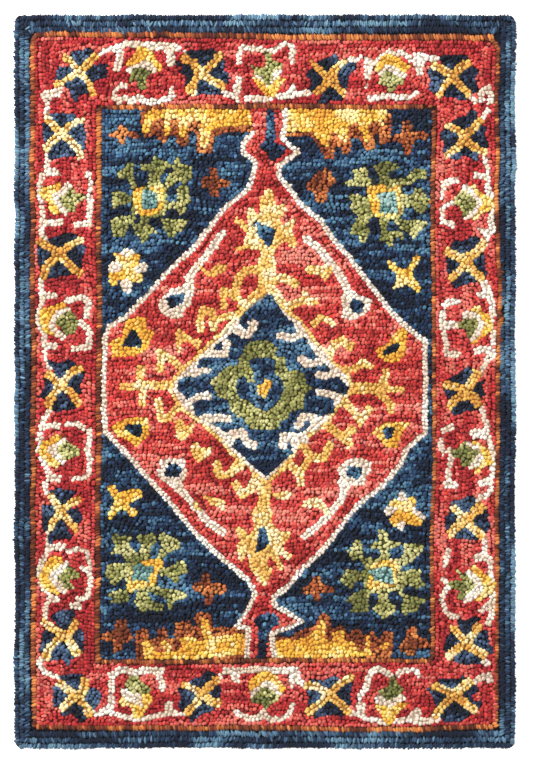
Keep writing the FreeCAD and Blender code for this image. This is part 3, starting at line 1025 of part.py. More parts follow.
def pile_shapes():
    """Every patch of pile, flat, by name."""
    rug, inside_edge, inside_guard, inside_motifs, field = band_faces()
    shapes = sides_of("edge_rows", rug.cut(inside_edge))
    shapes.update(sides_of("outer_guard", inside_edge.cut(inside_guard)))
    border = border_layers()
    motif_band = inside_guard.cut(inside_motifs)
    shapes.update(layered(border, motif_band))
    shapes.update(sides_of("border_ground", ground_left(motif_band, border)))
    shapes.update(sides_of("inner_guard", inside_motifs.cut(field)))
    drawing = field_layers()
    shapes.update(layered(drawing, field))
    left, right = field_halves(ground_left(field, drawing), joined(medallion_ground()))
    shapes["field_left"] = left
    shapes["field_right"] = right
    return shapes


def main():
    os.makedirs("parts", exist_ok=True)
    sheets = {
        "felt_backing": rounded_sheet(FELT_INSET, 0.0, FELT_THICKNESS),
        "latex_coat": rounded_sheet(LATEX_INSET, LATEX_BASE, LATEX_THICKNESS),
        "foundation_cloth": rounded_sheet(CLOTH_INSET, CLOTH_BASE, CLOTH_THICKNESS),
    }
    for name, sheet in sheets.items():
        sheet.exportStep("parts/" + name + ".step")
    for name, shape in pile_shapes().items():
        raised(shape).exportStep("parts/" + name + ".step")


main()
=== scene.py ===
"""Hooked pile rug: every patch of the frame's pile is rebuilt as rows of dyed yarn loops."""
import bpy
import json
import math
import numpy as np
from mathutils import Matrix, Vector


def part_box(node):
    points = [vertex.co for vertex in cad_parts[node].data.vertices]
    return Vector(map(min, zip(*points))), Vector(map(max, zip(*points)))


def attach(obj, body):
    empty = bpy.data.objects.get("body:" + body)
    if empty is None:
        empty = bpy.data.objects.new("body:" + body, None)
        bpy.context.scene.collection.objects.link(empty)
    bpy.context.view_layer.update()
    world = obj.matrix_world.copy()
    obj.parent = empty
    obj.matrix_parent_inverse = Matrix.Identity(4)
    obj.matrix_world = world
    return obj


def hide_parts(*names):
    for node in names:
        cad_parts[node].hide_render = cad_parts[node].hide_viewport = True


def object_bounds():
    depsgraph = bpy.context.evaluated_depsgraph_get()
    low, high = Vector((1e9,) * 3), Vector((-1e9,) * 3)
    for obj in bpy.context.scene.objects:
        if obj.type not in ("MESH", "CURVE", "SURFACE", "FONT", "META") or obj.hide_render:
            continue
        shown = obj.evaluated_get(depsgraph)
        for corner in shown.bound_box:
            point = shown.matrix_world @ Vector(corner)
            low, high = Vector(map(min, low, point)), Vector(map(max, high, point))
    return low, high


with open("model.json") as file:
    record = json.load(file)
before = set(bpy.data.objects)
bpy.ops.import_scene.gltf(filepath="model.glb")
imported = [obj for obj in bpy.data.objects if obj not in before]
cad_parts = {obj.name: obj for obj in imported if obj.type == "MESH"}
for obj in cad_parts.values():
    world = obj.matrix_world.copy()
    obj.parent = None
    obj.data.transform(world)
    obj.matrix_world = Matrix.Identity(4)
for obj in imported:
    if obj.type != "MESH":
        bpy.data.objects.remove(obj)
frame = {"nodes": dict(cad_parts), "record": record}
cad_low, cad_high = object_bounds()
MM = 0.001
rng = np.random.default_rng(7)

# ---------------------------------------------------------------- sizes, in millimetres
CELL = 0.5              # the grid that the drawing is laid out on
MARGIN = 6.0            # free cells kept all round the rug
FLAT = 0.01             # how far a point of a flat top may be from the top
CORNER = 12.0           # the backing's rounded corners
LOOP_PITCH = 4.0        # from loop to loop along a row
ROW_PITCH = 4.2         # from row to row
RIB_PITCH = {"edge_rows": 2.5, "outer_guard": 3.2, "inner_guard": 3.2}
LOOP_LONG = 6.1         # a loop is a little bigger than its pitch, so that the loops crowd
LOOP_WIDE = 4.7
EDGE_INSET = 1.9        # from a patch's edge to the middle of its outline loops
REACH = 20              # how many cells the distance to an edge is worked out for
WAVER = 2.4             # how far the rows wander off their lines
BED_DEEP = 4.6          # the yarn between the loops, above the cloth
BED_INSET = 1.6         # how far that yarn stays back from the rug's edge
BORDER_KEPT = 4.0       # bare cells nearer than this to the rug's edge stay bare
PILE_TOP = cad_high.z / MM
PILE_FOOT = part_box("medallion_ground")[0].z / MM
BED_TOP = PILE_FOOT + BED_DEEP
BACKING = ("felt_backing", "latex_coat", "foundation_cloth")
SIDES = ("top", "bottom", "left", "right")
WIDTH = (cad_high.x - cad_low.x) / MM
LENGTH = (cad_high.y - cad_low.y) / MM

# ---------------------------------------------------------------- yarn colours, dark to pale, as seen
YARNS = {
    "navy": ((11, 21, 40), (19, 36, 60), (30, 53, 84), (46, 77, 110), (86, 128, 156)),
    "edge": ((18, 28, 48), (30, 46, 70), (44, 66, 92), (64, 92, 120), (110, 146, 168)),
    "petal": ((16, 22, 38), (26, 34, 54), (38, 50, 74), (54, 72, 100), (84, 108, 138)),
    "red": ((158, 34, 38), (183, 48, 49), (199, 60, 57), (211, 78, 71), (229, 119, 104)),
    "coral": ((168, 42, 40), (194, 57, 53), (209, 71, 64), (221, 92, 81), (237, 140, 122)),
    "rust": ((116, 53, 28), (149, 73, 38), (171, 88, 46), (187, 104, 55), (217, 140, 79)),
    "guard": ((84, 38, 24), (120, 57, 33), (150, 77, 42), (180, 98, 51), (220, 138, 72)),
    "gold": ((228, 162, 58), (242, 186, 66), (250, 202, 84), (254, 216, 116), (255, 232, 164)),
    "straw": ((228, 174, 88), (241, 196, 104), (249, 211, 128), (253, 226, 160), (255, 240, 198)),
    "ivory": ((224, 201, 178), (238, 219, 197), (246, 231, 212), (251, 239, 223), (255, 246, 234)),
    "cream": ((236, 216, 194), (245, 229, 210), (250, 237, 221), (253, 243, 230), (255, 249, 240)),
    "arms": ((212, 148, 64), (235, 179, 84), (246, 199, 106), (252, 218, 146), (255, 237, 192)),
    "pool": ((16, 30, 54), (28, 50, 80), (42, 70, 102), (60, 94, 126), (98, 138, 164)),
    "olive": ((112, 112, 58), (140, 138, 76), (160, 156, 90), (180, 176, 108), (210, 204, 142)),
    "teal": ((92, 130, 126), (112, 152, 146), (130, 170, 164), (148, 186, 180), (182, 210, 198)),
    "blue": ((22, 42, 68), (34, 60, 92), (50, 82, 114), (68, 104, 136), (104, 142, 166)),
}
YARN_OF = {
    "yarn_navy": "navy", "yarn_red": "red", "yarn_rust": "rust", "yarn_gold": "gold", "yarn_ivory": "ivory",
    "yarn_olive": "olive", "yarn_teal": "teal", "yarn_blue": "blue",
}
GROUNDS = ("border_ground", "field", "edge_rows", "diamond_ground", "medallion_ground")
WIDE_GROUNDS = ("border_ground", "field", "medallion_ground")
DYE_LOTS = {
    "edge_rows": "edge", "outer_guard": "guard", "inner_guard": "guard", "medallion_ground": "coral",
    "cross_petals": "petal", "cross_arms": "arms", "branches": "straw",
    "diamond_edge": "straw", "medallion_outline": "cream", "diamond_ground": "pool",
}
# by yarn: how pale the painted shade on the bed between the loops is, beside the yarn's darkest shade
BED_PAINTED_SHADE = {
    "ivory": 0.85, "cream": 0.75, "gold": 0.75, "straw": 0.8, "arms": 0.7, "teal": 0.6,
    "coral": 0.44, "red": 0.44, "guard": 0.34,
}
COMMON_BED_PAINTED_SHADE = 0.42
# by yarn: how dark the painted shade in the creases between the loops is, and how far a loop's tone varies at random,
# where 1 is the common depth
PAINTED_CREASE_AND_TONE_DEPTH = {
    "ivory": 0.4, "cream": 0.4, "straw": 0.4, "gold": 0.5, "arms": 0.6, "teal": 0.6, "olive": 0.8,
}
slot_of = {entry["node"]: entry["material_slot"] for entry in frame["record"]["subparts"]}
PILE = [name for name in frame["nodes"] if name not in BACKING]


def yarn_of(node):
    """The yarn a patch of pile is hooked with: its own dye lot, or the common yarn of its slot."""
    lots = [lot for start, lot in DYE_LOTS.items() if node.startswith(start)]
    return lots[0] if lots else YARN_OF[slot_of[node]]


def nodes_where(test):
    """Which of the pile's nodes pass a test, with one more place at the end for off the rug."""
    return np.array([bool(test(node)) for node in PILE] + [False])


# ---------------------------------------------------------------- the drawing, as a grid of patches
COLUMNS = int((WIDTH + 2 * MARGIN) / CELL)
ROWS = int((LENGTH + 2 * MARGIN) / CELL)
LEFT = -COLUMNS * CELL / 2
BOTTOM = -ROWS * CELL / 2


def covered(node):
    """The grid cells under a node's top face."""
    mesh = frame["nodes"][node].data
    mesh.calc_loop_triangles()
    points = np.array([v.co for v in mesh.vertices]) / MM
    tris = np.array([t.vertices for t in mesh.loop_triangles])
    tris = tris[(points[tris, 2] > PILE_TOP - FLAT).all(1)]
    start = points[tris].reshape(-1, 3)[:, :2]
    end = points[np.roll(tris, -1, 1)].reshape(-1, 3)[:, :2]
    y0 = (start[:, 1] - BOTTOM) / CELL
    y1 = (end[:, 1] - BOTTOM) / CELL
    first = np.ceil(np.minimum(y0, y1) - 0.5).astype(int)
    last = np.ceil(np.maximum(y0, y1) - 0.5).astype(int)
    count = last - first
    edge = np.repeat(np.arange(len(count)), count)
    row = np.arange(len(edge)) - np.repeat(np.cumsum(count) - count, count) + first[edge]
    share = (row + 0.5 - y0[edge]) / (y1[edge] - y0[edge])
    x = start[edge, 0] + share * (end[edge, 0] - start[edge, 0])
    column = np.clip(np.ceil((x - LEFT) / CELL - 0.5).astype(int), 0, COLUMNS)
    winding = np.zeros((ROWS, COLUMNS + 1), np.int32)
    np.add.at(winding, (row, column), np.where(y1[edge] > y0[edge], 1, -1))
    return np.cumsum(winding, 1)[:, :COLUMNS] != 0


def draw_patches():
    """Which patch of pile each cell belongs to; -1 is off the rug. Bare cells inside take a neighbour's."""
    label = np.full((ROWS, COLUMNS), -1, np.int16)
    for index, node in enumerate(PILE):
        label[covered(node)] = index
    x = np.abs(LEFT + (np.arange(COLUMNS) + 0.5) * CELL)
    y = np.abs(BOTTOM + (np.arange(ROWS) + 0.5) * CELL)
    inside = (x[None, :] < WIDTH / 2 - BORDER_KEPT) & (y[:, None] < LENGTH / 2 - BORDER_KEPT)
    while (inside & (label < 0)).any():
        bare = inside & (label < 0)
        for shift, axis in ((1, 0), (-1, 0), (1, 1), (-1, 1)):
            near = np.roll(label, shift, axis)
            take = bare & (near >= 0) & (label < 0)
            label[take] = near[take]
    return label


def edge_distance(kind):
    """Distance in millimetres from each cell to the nearest change of yarn, up to a limit."""
    change = np.zeros(kind.shape, bool)
    change[:, 1:] |= kind[:, 1:] != kind[:, :-1]
    change[:, :-1] |= kind[:, 1:] != kind[:, :-1]
    change[1:, :] |= kind[1:, :] != kind[:-1, :]
    change[:-1, :] |= kind[1:, :] != kind[:-1, :]
    across = np.full(kind.shape, float(REACH))
    for step in range(REACH, -1, -1):
        across[:, step:][change[:, :change.shape[1] - step]] = step
        across[:, :change.shape[1] - step][change[:, step:]] = step
    best = across ** 2
    for step in range(1, REACH):
        best[step:] = np.minimum(best[step:], across[:-step] ** 2 + step ** 2)
        best[:-step] = np.minimum(best[:-step], across[step:] ** 2 + step ** 2)
    return np.sqrt(best) * CELL + CELL / 2


def smooth_noise(scale_x, scale_y, seed):
    """Smooth noise over the grid, about 0 to 1, with its own size of blot each way."""
    source = np.random.default_rng(seed)
    coarse = source.random((int(ROWS * CELL / scale_y) + 3, int(COLUMNS * CELL / scale_x) + 3))
    gx = np.arange(COLUMNS) * CELL / scale_x
    gy = np.arange(ROWS) * CELL / scale_y
    ix, iy = gx.astype(int), gy.astype(int)
    fx, fy = gx - ix, gy - iy
    fx, fy = fx * fx * (3 - 2 * fx), fy * fy * (3 - 2 * fy)
    low = coarse[iy][:, ix] * (1 - fx) + coarse[iy][:, ix + 1] * fx
    high = coarse[iy + 1][:, ix] * (1 - fx) + coarse[iy + 1][:, ix + 1] * fx
    return low * (1 - fy[:, None]) + high * fy[:, None]


label = draw_patches()
yarn_names = list(YARNS)
node_yarn = np.array([yarn_names.index(yarn_of(node)) for node in PILE] + [-1])
kind = node_yarn[label]
distance = edge_distance(kind)
slope_y, slope_x = np.gradient(distance)

# ---------------------------------------------------------------- where each loop of yarn stands
X, Y, TURN, LONG, WIDE, LIFT, ROW, NODE = range(8)
loops = []


def add_loop(x, y, turn, long_side, wide_side, lift, row=0):
    """One loop: its place, the way its long side runs, its sizes, its height from the mean, and its row in a band."""
    column = int((x - LEFT) / CELL)
    line = int((y - BOTTOM) / CELL)
    loops.append((x, y, turn, long_side, wide_side, lift, row, label[line, column]))


# a band's rows from outside in: spread across, lean and its spread, length as a share of the row
GUARD_ROWS = ((0.35, 0.26, 0.16, 1.2),)
EDGE_ROWS = ((0.35, -0.24, 0.16, 1.14), (0.7, 0.0, 0.3, 1.22), (0.7, 0.24, 0.3, 1.3))
BAND_ROWS = {"edge_rows": EDGE_ROWS, "outer_guard": GUARD_ROWS, "inner_guard": GUARD_ROWS}
LENGTH_SPREAD = 0.1
RIB_WIDE, RIB_WIDE_SPREAD = 1.4, 0.14       # a band loop's width, as a share of its pitch
RIB_LIFT_SPREAD = 0.35
PITCH_LEAST, PITCH_SPREAD = 0.84, 0.32      # the least step to the next loop, and how much may be added


def hook_band(prefix, free):
    """Rows of long loops that stand square to a band, along each of its four sides."""
    pitch = RIB_PITCH[prefix]
    rows = len(BAND_ROWS[prefix])
    for side in SIDES:
        index = PILE.index(prefix + "_" + side)
        upright = side in ("left", "right")
        outward = side in ("top", "right")
        mask = label == index
        if upright:
            mask = mask.T
        spans = np.flatnonzero(mask.any(0))
        low = mask.argmax(0)
        high = mask.shape[0] - mask[::-1].argmax(0)
        thick = np.median((high - low)[spans])
        size = thick * CELL / rows
        origin_along, origin_across = (BOTTOM, LEFT) if upright else (LEFT, BOTTOM)
        for row, (spread, lean, lean_spread, length) in enumerate(BAND_ROWS[prefix]):
            place = spans[0] * CELL + rng.random() * pitch
            while place < spans[-1] * CELL:
                at = int(place / CELL)
                band = max(thick, high[at] - low[at]) if rows == 1 else thick
                deep = (row + 0.5) / rows * band
                across = high[at] - deep if outward else low[at] + deep
                if mask[min(max(int(across), 0), mask.shape[0] - 1), at]:
                    u = origin_along + place
                    v = origin_across + across * CELL + rng.normal(0, spread)
                    x, y = (v, u) if upright else (u, v)
                    turn = (0.0 if upright else math.pi / 2) + rng.normal(lean, lean_spread)
                    long_side = size * rng.normal(length, LENGTH_SPREAD)
                    wide_side = pitch * rng.normal(RIB_WIDE, RIB_WIDE_SPREAD)
                    add_loop(x, y, turn, long_side, wide_side, rng.normal(0, RIB_LIFT_SPREAD), row + 1)
                place += pitch * (PITCH_LEAST + PITCH_SPREAD * rng.random())
        free[label == index] = 0


def stamp_of(turn, long_side, wide_side):
    """The cells a loop keeps clear of other loops, as row and column steps."""
    reach = int(max(long_side, wide_side) / CELL) + 1
    dy, dx = np.mgrid[-reach:reach + 1, -reach:reach + 1] * CELL
    along = dx * math.cos(turn) + dy * math.sin(turn)
    across = -dx * math.sin(turn) + dy * math.cos(turn)
    keep = (along / long_side) ** 2 + (across / wide_side) ** 2 < 1.0
    return (dy[keep] / CELL).astype(int), (dx[keep] / CELL).astype(int)


TURNS = 24                              # how many directions a stamp may have
STRETCHES = (0.84, 0.94, 1.04, 1.18)    # the room that a loop takes along its row
SLANT = 1.1                             # how far the loops lean off their row's line
SLIM = {"medallion_outline": 0.86}      # smaller loops, for a thin line
LEAN_SPREAD = 0.45
SIZE_SPREAD = 0.09
LIFT_SPREAD = 0.38
GROUND_STRAY, MOTIF_STRAY = 0.38, 0.6   # how far a loop stands off its cell
STAMPS = {}


def stamp(turn, long_side, wide_side):
    """A stamp from the store, turned to the nearest of a few directions."""
    key = (int(round(turn / math.pi * TURNS)) % TURNS, long_side, wide_side)
    if key not in STAMPS:
        STAMPS[key] = stamp_of(key[0] * math.pi / TURNS, long_side, wide_side)
    return STAMPS[key]


def hook_cells(cells, free, tangent, spacing, across):
    """Loops on free cells in the order given, each keeping its stamp of cells clear."""
    flat_free = free.reshape(-1)
    for cell in cells:
        if not flat_free[cell]:
            continue
        line, column = divmod(int(cell), COLUMNS)
        turn = float(tangent[line, column])
        stretch = STRETCHES[rng.integers(len(STRETCHES))]
        steps_y, steps_x = stamp(turn, spacing * stretch, across)
        free[line + steps_y, column + steps_x] = 0
        node = PILE[label[line, column]]
        stray = GROUND_STRAY if node.startswith(GROUNDS) else MOTIF_STRAY
        x = LEFT + (column + 0.5) * CELL + rng.normal(0, stray)
        y = BOTTOM + (line + 0.5) * CELL + rng.normal(0, stray)
        lean = turn + SLANT + rng.normal(0, LEAN_SPREAD)
        size = rng.normal(0.5 + 0.5 * stretch, SIZE_SPREAD) * SLIM.get(node, 1.0)
        add_loop(x, y, lean, LOOP_LONG * size, LOOP_WIDE * size, rng.normal(0, LIFT_SPREAD))


FIRST_RIPPLE = 0.3                      # cells this near a row's line get loops first
RING_RIPPLE, ROW_RIPPLE = 0.8, 0.9      # and then those up to this near
RING_WIDE, ROW_WIDE = 0.86, 0.84        # the room kept clear across a row, as a share of its pitch
LAST_WIDE, LAST_LONG = 0.8, 0.94        # and for the last loops, which fill what is left, both ways
LAST_EDGE = 1.2                         # how near a patch's edge the last loops may stand
ROW_WAVE = 9.0                          # how far a row waves, and how much the loops' direction sways
ROW_SWAY = 0.5
WAVE_NOISE = (90.0, 90.0, 3)            # noise: its size of blot along x and y, and its seed
SWAY_NOISE = (30.0, 30.0, 5)
WAVER_SIZE = 38.0


def off_line(place):
    """How far each cell is from the middle of the nearest row."""
    return np.abs((place + ROW_PITCH / 2) % ROW_PITCH - ROW_PITCH / 2)


def hook_everything():
    """All the loops of the rug: the bands first, then each patch's outline, then its rows, then what is left."""
    free = np.where(label >= 0, 1, 0).astype(np.uint8)
    for band in BAND_ROWS:
        hook_band(band, free)
    tangent = np.arctan2(slope_x, -slope_y)
    upright = nodes_where(lambda n: n in ("border_ground_left", "border_ground_right"))[label]
    wide_ground = nodes_where(lambda n: n.startswith(WIDE_GROUNDS))[label]
    ripple = off_line(distance - EDGE_INSET)
    near_edge = distance < EDGE_INSET + np.where(wide_ground, 0.5, 1.5) * ROW_PITCH
    for width in (FIRST_RIPPLE, RING_RIPPLE):
        cells = np.flatnonzero((free > 0) & near_edge & (ripple < width))
        hook_cells(cells, free, tangent, LOOP_PITCH, ROW_PITCH * RING_WIDE)
    wave = (smooth_noise(*WAVE_NOISE) - 0.5) * ROW_WAVE
    y = BOTTOM + (np.arange(ROWS)[:, None] + 0.5) * CELL + wave
    x = LEFT + (np.arange(COLUMNS)[None, :] + 0.5) * CELL + wave
    ripple = off_line(np.where(upright, x, y))
    level = np.where(upright, math.pi / 2, 0.0) + (smooth_noise(*SWAY_NOISE) - 0.5) * ROW_SWAY
    for width in (FIRST_RIPPLE, ROW_RIPPLE):
        cells = np.flatnonzero((free > 0) & (ripple < width))
        hook_cells(cells, free, level, LOOP_PITCH, ROW_PITCH * ROW_WIDE)
    cells = np.flatnonzero((free > 0) & (distance > LAST_EDGE))
    hook_cells(cells, free, level, LOOP_PITCH * LAST_LONG, ROW_PITCH * LAST_WIDE)


hook_everything()
loops = np.array([loop for loop in loops if loop[NODE] >= 0])
loop_node = loops[:, NODE].astype(int)
loop_cell = ((loops[:, Y] - BOTTOM) / CELL).astype(int), ((loops[:, X] - LEFT) / CELL).astype(int)
for axis, seed in ((X, 21), (Y, 22)):
    loops[:, axis] += (smooth_noise(WAVER_SIZE, WAVER_SIZE, seed)[loop_cell] - 0.5) * WAVER

# ---------------------------------------------------------------- the dye: streaks that run with the rows
# noises that add up: weight, size of blot along x and y, and seed
LEVEL_STREAK = ((0.6, 34.0, 4.6, 11), (0.4, 90.0, 14.0, 12))
UPRIGHT_STREAK = ((0.6, 4.6, 34.0, 13), (0.4, 14.0, 90.0, 14))
BLOT = ((0.6, 13.0, 13.0, 15), (0.4, 42.0, 42.0, 16))
GROUND_BLOT, MOTIF_BLOT = 0.22, 0.75            # how much of the shade is blots, and the rest streaks
SHADE_STOPS = (0.06, 0.3, 0.5, 0.7, 0.94)       # where a palette's five colours lie between dark and pale
GUARD_OWN_DYE, OWN_DYE = 0.12, 0.07             # how far a loop's own dye departs from its streak's
EDGE_ROW_BIAS = (0.0, 0.03, 0.03, -0.09)        # by row in a band, where 0 is a loop of no band
UNEVEN = 0.07                                   # how far a loop is darker or paler than its shade
COLOUR_SPREAD = 2.0                             # and how far each of its colours is off, of 255


def linear(colour):
    """Display colour, 0 to 255, as linear light."""
    c = np.asarray(colour, float) / 255.0
    return np.where(c <= 0.04045, c / 12.92, ((c + 0.055) / 1.055) ** 2.4)


def mixed_noise(parts):
    """Noises of several sizes added up, read at each loop."""
    return sum(weight * smooth_noise(*noise) for weight, *noise in parts)[loop_cell]


def dye_shades():
    """How pale each loop's yarn is, 0 to 1, evenly spread over the shades."""
    upright = nodes_where(lambda n: n.endswith(("_left", "_right")) and not n.startswith("field"))[loop_node]
    ground = nodes_where(lambda n: n.startswith(GROUNDS))[loop_node]
    guard = nodes_where(lambda n: "guard" in n)[loop_node]
    edge = nodes_where(lambda n: n.startswith("edge_rows"))[loop_node]
    streak = np.where(upright, mixed_noise(UPRIGHT_STREAK), mixed_noise(LEVEL_STREAK))
    blotted = np.where(ground, GROUND_BLOT, MOTIF_BLOT)
    value = (1 - blotted) * streak + blotted * mixed_noise(BLOT)
    value = value + rng.normal(0, 1.0, len(loops)) * np.where(guard, GUARD_OWN_DYE, OWN_DYE)
    lot = np.where(edge, len(yarn_names) + loop_node, node_yarn[loop_node])
    shade = np.zeros(len(loops))
    for group in np.unique(lot):
        own = np.flatnonzero(lot == group)
        order = np.argsort(np.argsort(value[own]))
        shade[own] = (order + 0.5) / len(own)
    bias = np.array(EDGE_ROW_BIAS)[loops[:, ROW].astype(int)]
    return np.clip(shade + np.where(edge, bias, 0.0), 0.0, 1.0)


def dye_colours():
    """The linear colour of each loop."""
    shade = dye_shades()
    colours = np.zeros((len(loops), 3))
    for yarn, name in enumerate(yarn_names):
        own = node_yarn[loop_node] == yarn
        table = np.array(YARNS[name], float)
        seen = np.stack([np.interp(shade[own], SHADE_STOPS, table[:, c]) for c in range(3)], 1)
        uneven = UNEVEN * PAINTED_CREASE_AND_TONE_DEPTH.get(name, 1.0)
        seen = seen * rng.normal(1.0, uneven, (own.sum(), 1)) + rng.normal(0, COLOUR_SPREAD, (own.sum(), 3))
        colours[own] = linear(np.clip(seen, 0, 255))
    return colours


loop_colour = dye_colours()

# ---------------------------------------------------------------- one loop's form, repeated
AROUND = 7                                                          # points round each ring of a loop
RINGS = ((0.80, -5.2), (1.00, -2.8), (0.88, -1.35), (0.55, -0.42))  # share of its width, and height from its top
RING_PAINTED_LIGHT = (0.3, 0.66, 0.92, 1.04, 1.08)                              # painted light on each ring and on the top: painted shade low in the creases, a painted highlight on top
NUB_DEEP = -RINGS[0][1]
TOP_DROP = 0.35                                                     # the mean top below the frame's
LOWEST_LIFT, HIGHEST_LIFT = -0.7, 0.35                              # the limits of a loop's height from the mean
BENT_SPREAD = 0.4                                                   # how far a top is bent off its foot
TILT_SPREAD, MOST_TILT = 0.2, 0.3                                   # the slope of a top
STRAND_RANGE = 10                                                   # loops start at different places of the twist


def nub_form():
    """A domed loop: unit points, height below the top, the painted light and shade on each point, and faces."""
    points, point_painted_light = [], []
    for (scale, height), painted_light in zip(RINGS, RING_PAINTED_LIGHT):
        for k in range(AROUND):
            angle = 2 * math.pi * k / AROUND
            points.append((0.5 * scale * math.cos(angle), 0.5 * scale * math.sin(angle), height))
            point_painted_light.append(painted_light)
    points.append((0.0, 0.0, 0.0))
    point_painted_light.append(RING_PAINTED_LIGHT[-1])
    quads = []
    for ring in range(len(RINGS) - 1):
        for k in range(AROUND):
            a, b = ring * AROUND + k, ring * AROUND + (k + 1) % AROUND
            quads.append((a, b, b + AROUND, a + AROUND))
    top = (len(RINGS) - 1) * AROUND
    tris = [(top + k, top + (k + 1) % AROUND, len(points) - 1) for k in range(AROUND)]
    return np.array(points), np.array(point_painted_light), np.array(quads), np.array(tris)


NUB, NUB_PAINTED_LIGHT, NUB_QUADS, NUB_TRIS = nub_form()


def mesh_from(name, points, quads, tris, colours, strand):
    """A smooth mesh from arrays, with each point's colour (for the loops, the yarn's colour with its painted shade)
    and strand place on its points.
    """
    mesh = bpy.data.meshes.new(name)
    corners = np.concatenate([quads.reshape(-1), tris.reshape(-1)]).astype(np.int32)
    starts = np.concatenate([
        np.arange(len(quads)) * 4, len(quads) * 4 + np.arange(len(tris)) * 3]).astype(np.int32)
    mesh.vertices.add(len(points))
    mesh.vertices.foreach_set("co", (points * MM).astype(np.float32).reshape(-1))
    mesh.loops.add(len(corners))
    mesh.loops.foreach_set("vertex_index", corners)
    mesh.polygons.add(len(starts))
    mesh.polygons.foreach_set("loop_start", starts)
    mesh.update(calc_edges=True)
    mesh.polygons.foreach_set("use_smooth", np.ones(len(starts), bool))
    paint = mesh.attributes.new("yarn", "FLOAT_COLOR", "POINT")
    rgba = np.concatenate([colours, np.ones((len(colours), 1))], 1).astype(np.float32)
    paint.data.foreach_set("color", rgba.reshape(-1))
    layer = mesh.uv_layers.new(name="strand")
    layer.data.foreach_set("uv", strand[corners].astype(np.float32).reshape(-1))
    mesh.validate()
    return mesh


def bed_of(node, colour):
    """The mass of yarn between the loops of one patch, in one colour of painted shade: its own solid, cut down in
    height.
    """
    mesh = frame["nodes"][node].data
    mesh.calc_loop_triangles()
    points = np.array([v.co for v in mesh.vertices]) / MM
    tris = np.array([t.vertices for t in mesh.loop_triangles])
    share = (points[:, 2] - PILE_FOOT) / (PILE_TOP - PILE_FOOT)
    points[:, 2] = PILE_FOOT + share * (BED_TOP - PILE_FOOT)
    size = np.abs(points[:, :2])
    size = np.abs(points[:, :2])
    limit = np.array([WIDTH / 2 - BED_INSET, LENGTH / 2 - BED_INSET])
    points[:, :2] = np.sign(points[:, :2]) * np.minimum(size, limit)
    return points, tris, np.repeat(colour[None], len(points), 0)


def show(name, mesh, node, material):
    """A piece of the rug from its mesh, in place of its node of the frame."""
    piece = bpy.data.objects.new(name, mesh)
    bpy.context.scene.collection.objects.link(piece)
    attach(piece, "root")
    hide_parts(node)
    mesh.materials.append(material)
    return piece


def build_patch(index, node):
    """One patch of pile: its loops standing on its bed of yarn."""
    own = loop_node == index
    table = loops[own]
    count = len(table)
    cos, sin = np.cos(table[:, TURN, None]), np.sin(table[:, TURN, None])
    u = NUB[None, :, 0] * table[:, LONG, None]
    v = NUB[None, :, 1] * table[:, WIDE, None]
    height = np.clip((NUB[:, 2] + NUB_DEEP) / NUB_DEEP, 0, 1)[None]
    bent = rng.normal(0, BENT_SPREAD, (count, 2))
    x = table[:, X, None] + u * cos - v * sin + bent[:, :1] * height
    y = table[:, Y, None] + u * sin + v * cos + bent[:, 1:] * height
    tilt = np.clip(rng.normal(0, TILT_SPREAD, (count, 2)), -MOST_TILT, MOST_TILT)
    z = PILE_TOP - TOP_DROP + np.clip(table[:, LIFT, None], LOWEST_LIFT, HIGHEST_LIFT) + NUB[None, :, 2]
    z = z + (tilt[:, :1] * u + tilt[:, 1:] * v) * height
    points = np.stack([x, y, z], 2).reshape(-1, 3)
    yarn = yarn_of(node)
    # painted shade and highlight: each point of a loop darker low in its creases and a little paler on its top, less
    # so for pale yarns
    painted_light = 1.0 - (1.0 - NUB_PAINTED_LIGHT) * PAINTED_CREASE_AND_TONE_DEPTH.get(yarn, 1.0)
    colours = (loop_colour[own][:, None, :] * painted_light[None, :, None]).reshape(-1, 3)
    step = (np.arange(count) * len(NUB))[:, None, None]
    quads = (NUB_QUADS[None] + step).reshape(-1, 4)
    tris = (NUB_TRIS[None] + step).reshape(-1, 3)
    start = rng.random((count, 1)) * STRAND_RANGE
    strand = np.stack([u + start, v], 2).reshape(-1, 2)
    # the bed's colour: painted shade between the loops, the yarn's darkest colour made darker still
    dark = linear(YARNS[yarn][0]) * BED_PAINTED_SHADE.get(yarn, COMMON_BED_PAINTED_SHADE)
    bed, bed_tris, bed_colours = bed_of(node, dark)
    points = np.concatenate([points, bed])
    tris = np.concatenate([tris, bed_tris + count * len(NUB)])
    colours = np.concatenate([colours, bed_colours])
    strand = np.concatenate([strand, bed[:, :2]])
    mesh = mesh_from("pile_" + node, points, quads, tris, colours, strand)
    show("pile_" + node, mesh, node, yarn_material(slot_of[node]))


# ---------------------------------------------------------------- materials
def new_material(name):
    """A material with its main shader and two helpers, which add a node and link two sockets."""
    material = bpy.data.materials.new(name)
    material.use_nodes = True
    tree = material.node_tree

    def add(kind, inputs=None, **settings):
        node = tree.nodes.new(kind)
        for key, value in settings.items():
            setattr(node, key, value)
        for key, value in (inputs or {}).items():
            node.inputs[key].default_value = value
        return node

    return material, tree.nodes["Principled BSDF"], add, tree.links.new


MATERIALS = {}


